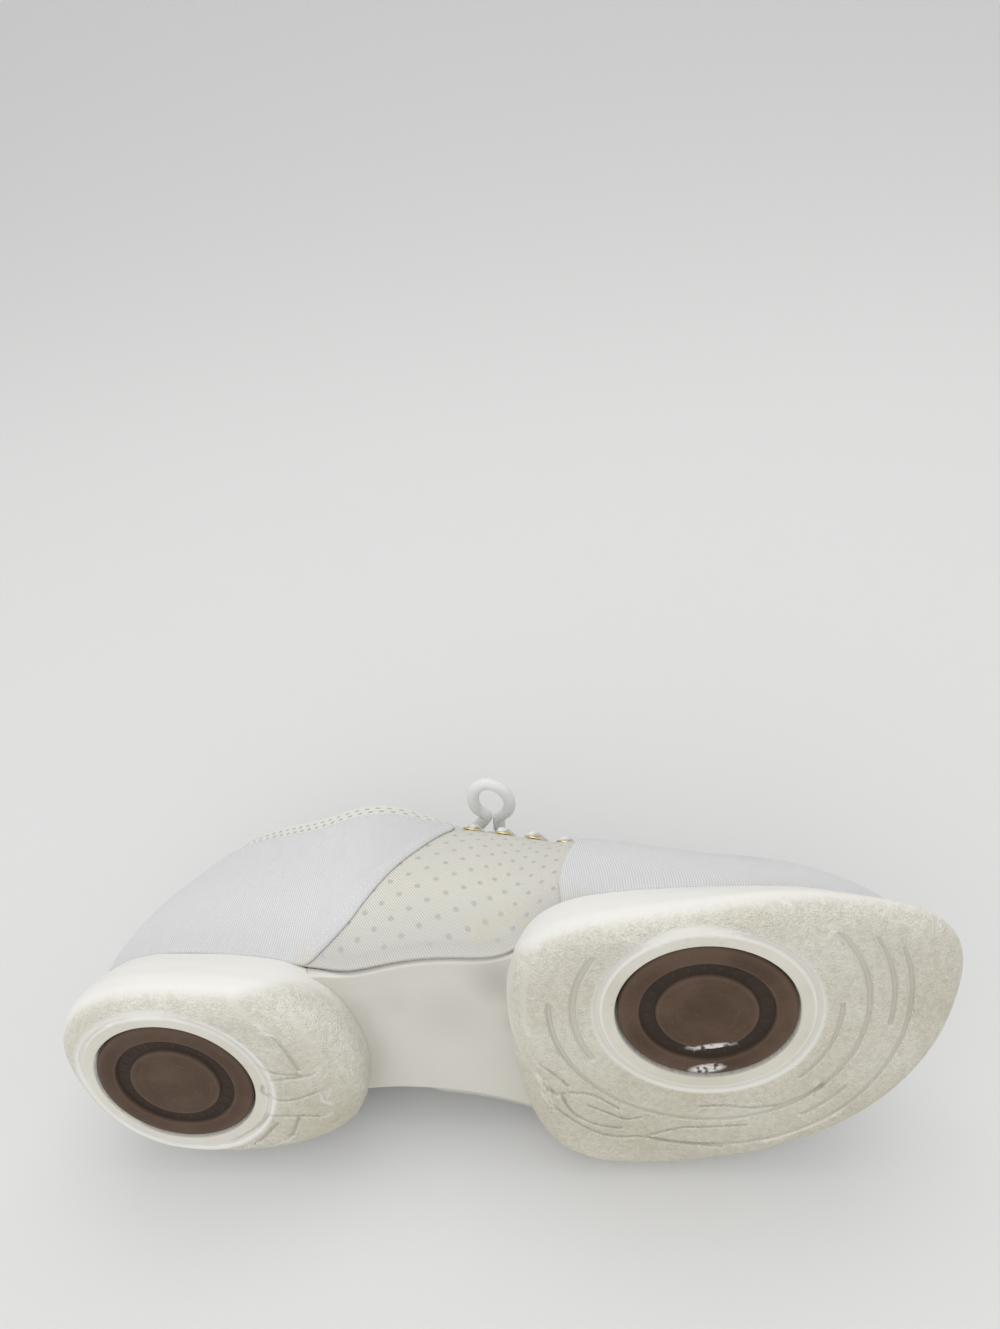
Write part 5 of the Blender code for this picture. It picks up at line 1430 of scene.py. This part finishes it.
def turned(profile, centre, normal, around):
    # Closed ring of a profile turned round a line; profile is (radius, height) pairs
    one, two = ringBetween(normal)
    angle = evenAngles(around)
    table = np.array(profile)
    spoke = np.cos(angle)[:, None] * one + np.sin(angle)[:, None] * two
    points = centre + table[:, 0][:, None, None] * spoke + table[:, 1][:, None, None] * normal
    flat = points.reshape(-1, 3)
    faces = gridFaces(len(table), around, closedRows=True, closedCols=True)
    return flat, outwardFaces(flat - centre, faces)


def makeEyelets():
    # Half-round flange over a barrel through the cloth, turned round the surface's normal
    hole, flange, rise = eyelet["hole"], eyelet["flange"], eyelet["rise"]
    base = lace["meet"]
    barrel = hole + eyelet["wall"]
    profile = [(hole, -cloth["wall"])]
    for turn in np.radians(np.arange(180, -1, -22.5)):
        middle, half = (hole + flange) / 2, (flange - hole) / 2
        profile.append((middle + half * math.cos(turn), base + rise * math.sin(turn)))
    profile += [(flange, base - 0.1 * mm), (barrel, base - 0.1 * mm), (barrel, -cloth["wall"])]
    for (side, k), (rib, up) in places.items():
        centre = last.offset(rib, up, 0.0)
        flat, faces = turned(profile, centre, last.normal(rib, up), 40)
        name = f"eyelet_ring_{side}_{k + 1}"
        wear(finishMesh(name, flat, faces), "gold", "gold", f"eyelet_{side}_{k + 1}")


makeEyelets()
print("eyelets made")


def evenRoute(route, count):
    # Route read again at even steps of its length
    walked = lengthAlong(route)
    where = np.linspace(0, walked[-1], count)
    return np.column_stack([np.interp(where, walked, route[:, k]) for k in range(3)]), walked[-1]


def makeTube(name, routes, diameter, flatness=1.0):
    # Round or flattened tube along each route, closed at its ends, with UVs in metres
    allPoints, allFaces, allUv, offset = [], [], [], 0
    around = 16
    endTaper = np.array([0.15, 0.62, 0.85, 0.96])
    angle = evenAngles(around)[None, :, None]
    for route in routes:
        count = max(24, int(lengthAlong(route)[-1] / (0.5 * mm)))
        line, length = evenRoute(route, count)
        along = unit(np.gradient(line, axis=0))
        # the thin way of the braid is carried along and drawn gently to the upright
        one = np.zeros_like(line)
        one[0] = ringBetween(along[0])[0]
        for k in range(count):
            carried = one[max(k - 1, 0)] + np.array([0, 0, 0.2 if k else 9.0])
            one[k] = unit(carried - along[k] * (carried @ along[k]))
        two = np.cross(along, one)
        taper = np.ones(count)
        taper[:4] = endTaper
        taper[-4:] = endTaper[::-1]
        ring = np.cos(angle) * one[:, None, :] * flatness + np.sin(angle) * two[:, None, :]
        points = line[:, None, :] + diameter / 2 * taper[:, None, None] * ring
        faces, caps, flipped = ringFaces(points)
        uvGrid = np.stack(np.meshgrid(np.arange(around + 1) * math.pi * diameter / around,
                                      np.linspace(0, length, count)), axis=-1)
        uv = cornerUv(count, around, uvGrid, closedCols=True).reshape(-1, 4, 2)
        uv = uv[:, ::-1] if flipped else uv
        poles = [line[0] - along[0] * 0.1 * mm, line[-1] + along[-1] * 0.1 * mm]
        allPoints += [points.reshape(-1, 3), poles]
        allFaces += (faces + offset).tolist() + (caps + offset).tolist()
        allUv += [uv.reshape(-1, 2), np.zeros((6 * around, 2))]
        offset += count * around + 2
    return finishMesh(name, np.vstack(allPoints), allFaces, np.vstack(allUv))


laceLift = lace["meet"] + eyelet["rise"] + lace["clearance"] + lace["diameter"] / 2


def makeCrossings():
    # Both runs of the lace over the throat, each going down through its eyelets
    snug = lace["meet"] + eyelet["rise"] + 0.2 * mm
    ends = {key: last.offset(rib, up, snug) for key, (rib, up) in places.items()}
    under = {key: last.offset(rib, up, -cloth["wall"] * 0.6) for key, (rib, up) in places.items()}
    edges = {key: last.offset(rib, 1.0, snug) for key, (rib, up) in places.items()}
    final = eyelet["pairs"] - 1
    firstOrder = [("medial", 0)]
    firstOrder += [(("lateral", "medial")[k % 2], k) for k in range(eyelet["pairs"])]
    firstOrder.append((("medial", "lateral")[final % 2], final))
    secondOrder = [(("medial", "lateral")[k % 2], k) for k in range(eyelet["pairs"])]
    routes = []
    for order, sag in ((firstOrder, lace["sag"]), (secondOrder, lace["sag"] + 2.3 * mm)):
        for start, end in zip(order[:-1], order[1:]):
            leave = edges[start] + (edges[end] - edges[start]) * lace["turn"]
            arrive = edges[end] + (edges[start] - edges[end]) * lace["turn"]
            middle = (leave + arrive) / 2 + np.array([0, 0, sag])
            route = [under[start], ends[start], leave, middle, arrive, ends[end], under[end]]
            routes.append(smoothRoute(route, 60))
    return makeTube("lace_over_throat", routes, lace["width"], lace["flat"])


wear(makeCrossings(), "lace", "lace", "lace_crossings")

final = eyelet["pairs"] - 1
topBar = (last.offset(places["lateral", final][0], 1.0, laceLift)
          + last.offset(places["medial", final][0], 1.0, laceLift)) / 2
knotPlace = topBar + np.array([0, 0, lace["diameter"] / 2 + lace["meet"] + lace["sag"]
                               + knotShape[2] * lace["knot"]])


def makeKnot():
    # Knot of the bow: an overhand wrap, three strands wound as a flat trefoil
    t = np.linspace(0, 2 * math.pi, 160)
    size = lace["knot"] * 0.36
    x = (np.sin(t) + 2 * np.sin(2 * t)) * size * knotShape[0] * 0.60
    y = (np.cos(t) - 2 * np.cos(2 * t)) * size * knotShape[1] * 0.62
    z = -np.sin(3 * t) * size * knotShape[2] * 0.8
    route = knotPlace + np.column_stack([x, y, z])
    return makeTube("lace_knot_wrap", [route], lace["diameter"] * 0.94)


wear(makeKnot(), "lace", "lace", "lace_knot")

# From the knot, as shares of the loop's reach
medialLoop = ((0.205, -0.35, -0.04), (0.325, -0.44, -0.08), (0.395, -0.60, -0.12),
              (0.365, -0.78, -0.15), (0.225, -0.89, -0.15), (0.080, -0.84, -0.13),
              (0.000, -0.69, -0.10), (0.00, -0.52, -0.06), (0.060, -0.38, -0.03))
# Rib, height up the rib, lift in lace diameters
lateralLoop = ((5.35, 0.985, 2.3), (5.30, 0.91, 1.6), (5.24, 0.83, 1.2), (5.20, 0.76, 1.1),
               (5.10, 0.69, 1.1), (4.85, 0.655, 1.1), (4.62, 0.69, 1.1), (4.60, 0.77, 1.1),
               (4.72, 0.85, 1.2), (4.88, 0.92, 1.8), (4.98, 0.985, 2.6))
backEnd = ((5.95, 0.97, 2.4), (6.02, 0.90, 2.2), (6.06, 0.83, 1.4), (6.08, 0.76, 1.1),
           (6.10, 0.69, 1.1))
frontEnd = ((6.50, 1.00, 3.0), (6.70, 0.93, 2.6), (6.86, 0.86, 1.8), (6.96, 0.79, 1.1),
            (7.00, 0.72, 1.1))
# Angles at which each strand leaves the knot and comes back to it, in degrees
knotExits = {"lace_loop_medial": (-50, -120), "lace_loop_lateral": (98, 150),
             "lace_end_back": (50, None), "lace_end_front": (2, None)}


def exitPoints(angle):
    # Two points on the level line out of the knot, just off its surface and a little further
    turn = math.radians(angle)
    way = np.array([math.cos(turn), math.sin(turn), 0.0])
    surface = 1 / np.linalg.norm(way / (lace["knot"] * np.array(knotShape)))
    start = surface + 3 * lace["meet"]
    return [knotPlace + way * start, knotPlace + way * (start + 0.9 * lace["diameter"])]


tip = {"length": 9 * mm, "radius": 1.85 * mm, "middle": 0.05 * mm, "around": 28}


def makeTip(name, route):
    # Tip of a lace end: a slim crimped sleeve, turned round the route's last direction and closed
    # and rounded at its far end
    length, radius, middle = tip["length"], tip["radius"], tip["middle"]
    profile = [(middle, 0.3 * mm), (radius * 0.9, 0.3 * mm), (radius, 0.6 * mm),
               (radius, 2.0 * mm), (radius * 0.88, 2.4 * mm), (radius, 2.8 * mm),
               (radius, length - 0.4 * mm), (radius * 0.85, length),
               (radius * 0.4, length + 0.2 * mm), (middle, length + 0.2 * mm)]
    flat, faces = turned(profile, route[-1], unit(route[-1] - route[-2]), tip["around"])
    return wear(finishMesh(name, flat, faces), "gold", "gold", name.replace("tip", "aglet"))


def makeBow():
    # Each strand leaves the knot on its own line, follows its points on a smooth curve, and a loop
    # comes back to the knot
    tables = {"lace_loop_lateral": lateralLoop, "lace_end_front": frontEnd,
              "lace_end_back": backEnd}
    routes = {"lace_loop_medial": list(knotPlace + np.array(medialLoop) * lace["reach"])}
    for name, table in tables.items():
        routes[name] = [last.bare(rib, up) + last.normal(rib, up) * lift * lace["diameter"]
                        for rib, up, lift in table]
    for name, route in routes.items():
        leave, arrive = knotExits[name]
        route = exitPoints(leave) + list(route)
        if arrive is not None:
            route += exitPoints(arrive)[::-1]
        coarse = smoothRoute(route, 2 * len(route) - 1)
        line = smoothRoute(coarse, 160)
        tube = makeTube(name + "_braid", [line], lace["width"], 0.85)
        wear(tube, "lace", "lace", name)
        tips = [makeTip(name.replace("lace_end", "tip"), coarse)] if arrive is None else []


makeBow()
print("lace made")


def stitchRow(line, normal, pitch, length, radius):
    # Small capsules end to end along a line on the surface
    walked = lengthAlong(line)
    centres = np.arange(pitch / 2, walked[-1] - pitch / 2, pitch)
    at = [np.column_stack([np.interp(centres + shift, walked, line[:, k]) for k in range(3)])
          for shift in (-length / 2, 0, length / 2)]
    up = unit(np.column_stack([np.interp(centres, walked, normal[:, k]) for k in range(3)]))
    along = unit(at[2] - at[0])
    side = np.cross(along, up)
    sides = 6
    angle = evenAngles(sides)
    share = np.array([-0.5, -0.44, -0.2, 0.2, 0.44, 0.5])
    width = np.array([0.1, 0.7, 1.0, 1.0, 0.7, 0.1])
    sink = np.array([-0.55, -0.2, 0.15, 0.15, -0.2, -0.55])
    ring = (np.cos(angle)[None, None, :, None] * side[:, None, None, :]
            + np.sin(angle)[None, None, :, None] * up[:, None, None, :] * 0.8)
    points = (at[1][:, None, None, :]
              + along[:, None, None, :] * (share * length)[None, :, None, None]
              + up[:, None, None, :] * (sink * radius)[None, :, None, None]
              + ring * (width * radius)[None, :, None, None])
    count = len(centres)
    faces = gridFaces(6, sides, closedCols=True)
    one = points[0].reshape(-1, 3)
    faces = outwardFaces(one - one.mean(axis=0), faces)
    allFaces = (faces[None] + (np.arange(count) * 6 * sides)[:, None, None]).reshape(-1, 4)
    return points.reshape(-1, 3), allFaces


def panelEdge(table, side, inset, count=400):
    # Line a little way in from a panel's edge, on its face; side is low, high, start or end
    table = np.array(table)
    along = np.linspace(table[0, 0], table[-1, 0], count)
    low = np.interp(along, table[:, 0], table[:, 1])
    high = np.interp(along, table[:, 0], table[:, 2])
    lift = cloth["panelGap"] + cloth["panel"] * 0.95
    line = np.array(last.offset(along, high if side == "high" else low, lift))
    normal = last.normal(along, high if side == "high" else low)
    inward = np.cross(normal, unit(np.gradient(line, axis=0)))
    centre = last.offset(along, (low + high) / 2, lift)
    inward *= np.sign(np.einsum("ij,ij->i", inward, centre - line))[:, None]
    return line + inward * inset, normal, along


stitch = {"pitch": 2.0 * mm, "length": 1.45 * mm, "radius": 0.30 * mm,
          "low": (1.8 * mm, 3.9 * mm), "high": (1.6 * mm,)}


def makeStitches():
    # Rows along the panels' long edges, two below and one above, each in two halves; the lower
    # rows leave out what lies under the sole's edge
    pieces = []
    for table in (heelPanel, toePanel):
        for side in ("low", "high"):
            for inset in stitch[side]:
                line, normal, along = panelEdge(table, side, inset)
                low = np.interp(along, np.array(table)[:, 0], np.array(table)[:, 1])
                keep = np.ones(len(line), bool) if side == "high" else low > 0.02
                for half in (slice(0, len(line) // 2), slice(len(line) // 2, None)):
                    part, partNormal = line[half][keep[half]], normal[half][keep[half]]
                    if len(part) > 12:
                        pieces.append(stitchRow(part, partNormal, stitch["pitch"],
                                                stitch["length"], stitch["radius"]))
    offset, allPoints, allFaces = 0, [], []
    for points, faces in pieces:
        allPoints.append(points)
        allFaces.append(faces + offset)
        offset += len(points)
    return finishMesh("seam_stitches", np.vstack(allPoints), np.vstack(allFaces))


wear(makeStitches(), "stitch", "canvas")
print("stitches made")


# Power of both lamps in watts, and the strength of the even light around
studio = {"key": 12.5, "fill": 5, "world": 0.92}


def makeBackdrop():
    # Floor that curves up into a backdrop; the bend is a quarter circle, and its paper carries
    # painted shade of the light's falloff towards the back
    start, radius, height, half = 0.40, 0.55, 1.6, 2.4
    profile = [(-2.0, 0.0), (start, 0.0)]
    for turn in np.radians(np.linspace(4, 90, 24)):
        profile.append((start + radius * math.sin(turn), radius * (1 - math.cos(turn))))
    profile.append((start + radius, radius + height))
    table = np.array(profile)
    points = np.array([[(x, y, z) for y, z in table] for x in (-half, half)])
    faces = gridFaces(2, len(table))[:, ::-1]
    thing = finishMesh("studio_sweep", points.reshape(-1, 3), faces, world=False)
    material, tree, shader = newMaterial("pale_grey_paper_painted_falloff")
    across = tree.nodes.new("ShaderNodeSeparateXYZ")
    link(tree, objectPlace(tree), across.inputs[0])
    # painted shade: the paper darkens from the bend back and up the wall, where less light reaches
    colour = mixColour(tree, ramp(tree, across.outputs[1], 0.35, 0.95), (0.675, 0.675, 0.67),
                       (0.52, 0.52, 0.52))
    link(tree, colour, shader.inputs["Base Color"])
    setValues(shader, Roughness=0.95, Specular_IOR_Level=0.05)
    thing.data.materials.append(material)
    thing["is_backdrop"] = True


def addLight(name, place, target, size, power):
    # Area lamp that looks from its place at its target
    data = bpy.data.lights.new(name, "AREA")
    data.shape = "RECTANGLE"
    data.size, data.size_y = size
    data.energy = power
    lamp = bpy.data.objects.new(name, data)
    lamp.location = place
    way = Vector(target) - Vector(place)
    lamp.rotation_euler = way.to_track_quat("-Z", "Y").to_euler()
    bpy.context.scene.collection.objects.link(lamp)


makeBackdrop()
addLight("key", (0.1, 0.75, 1.5), (0, 0.05, 0), (1.7, 1.3), studio["key"])
addLight("fill", (-0.5, -1.3, 0.9), (0, 0, 0.05), (1.8, 1.2), studio["fill"])
world = bpy.data.worlds.new("studio")
world.use_nodes = True
setValues(world.node_tree.nodes["Background"], Color=(1, 1, 1, 1), Strength=studio["world"])
bpy.context.scene.world = world
bpy.context.scene.view_settings.view_transform = "Standard"

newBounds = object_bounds()


def plainBounds(bounds):
    # Bounds as plain lists of numbers, for the json file
    return json.loads(json.dumps(bounds, default=lambda value: [float(v) for v in value]))


{"cad": plainBounds(cadBounds), "scene": plainBounds(newBounds)}
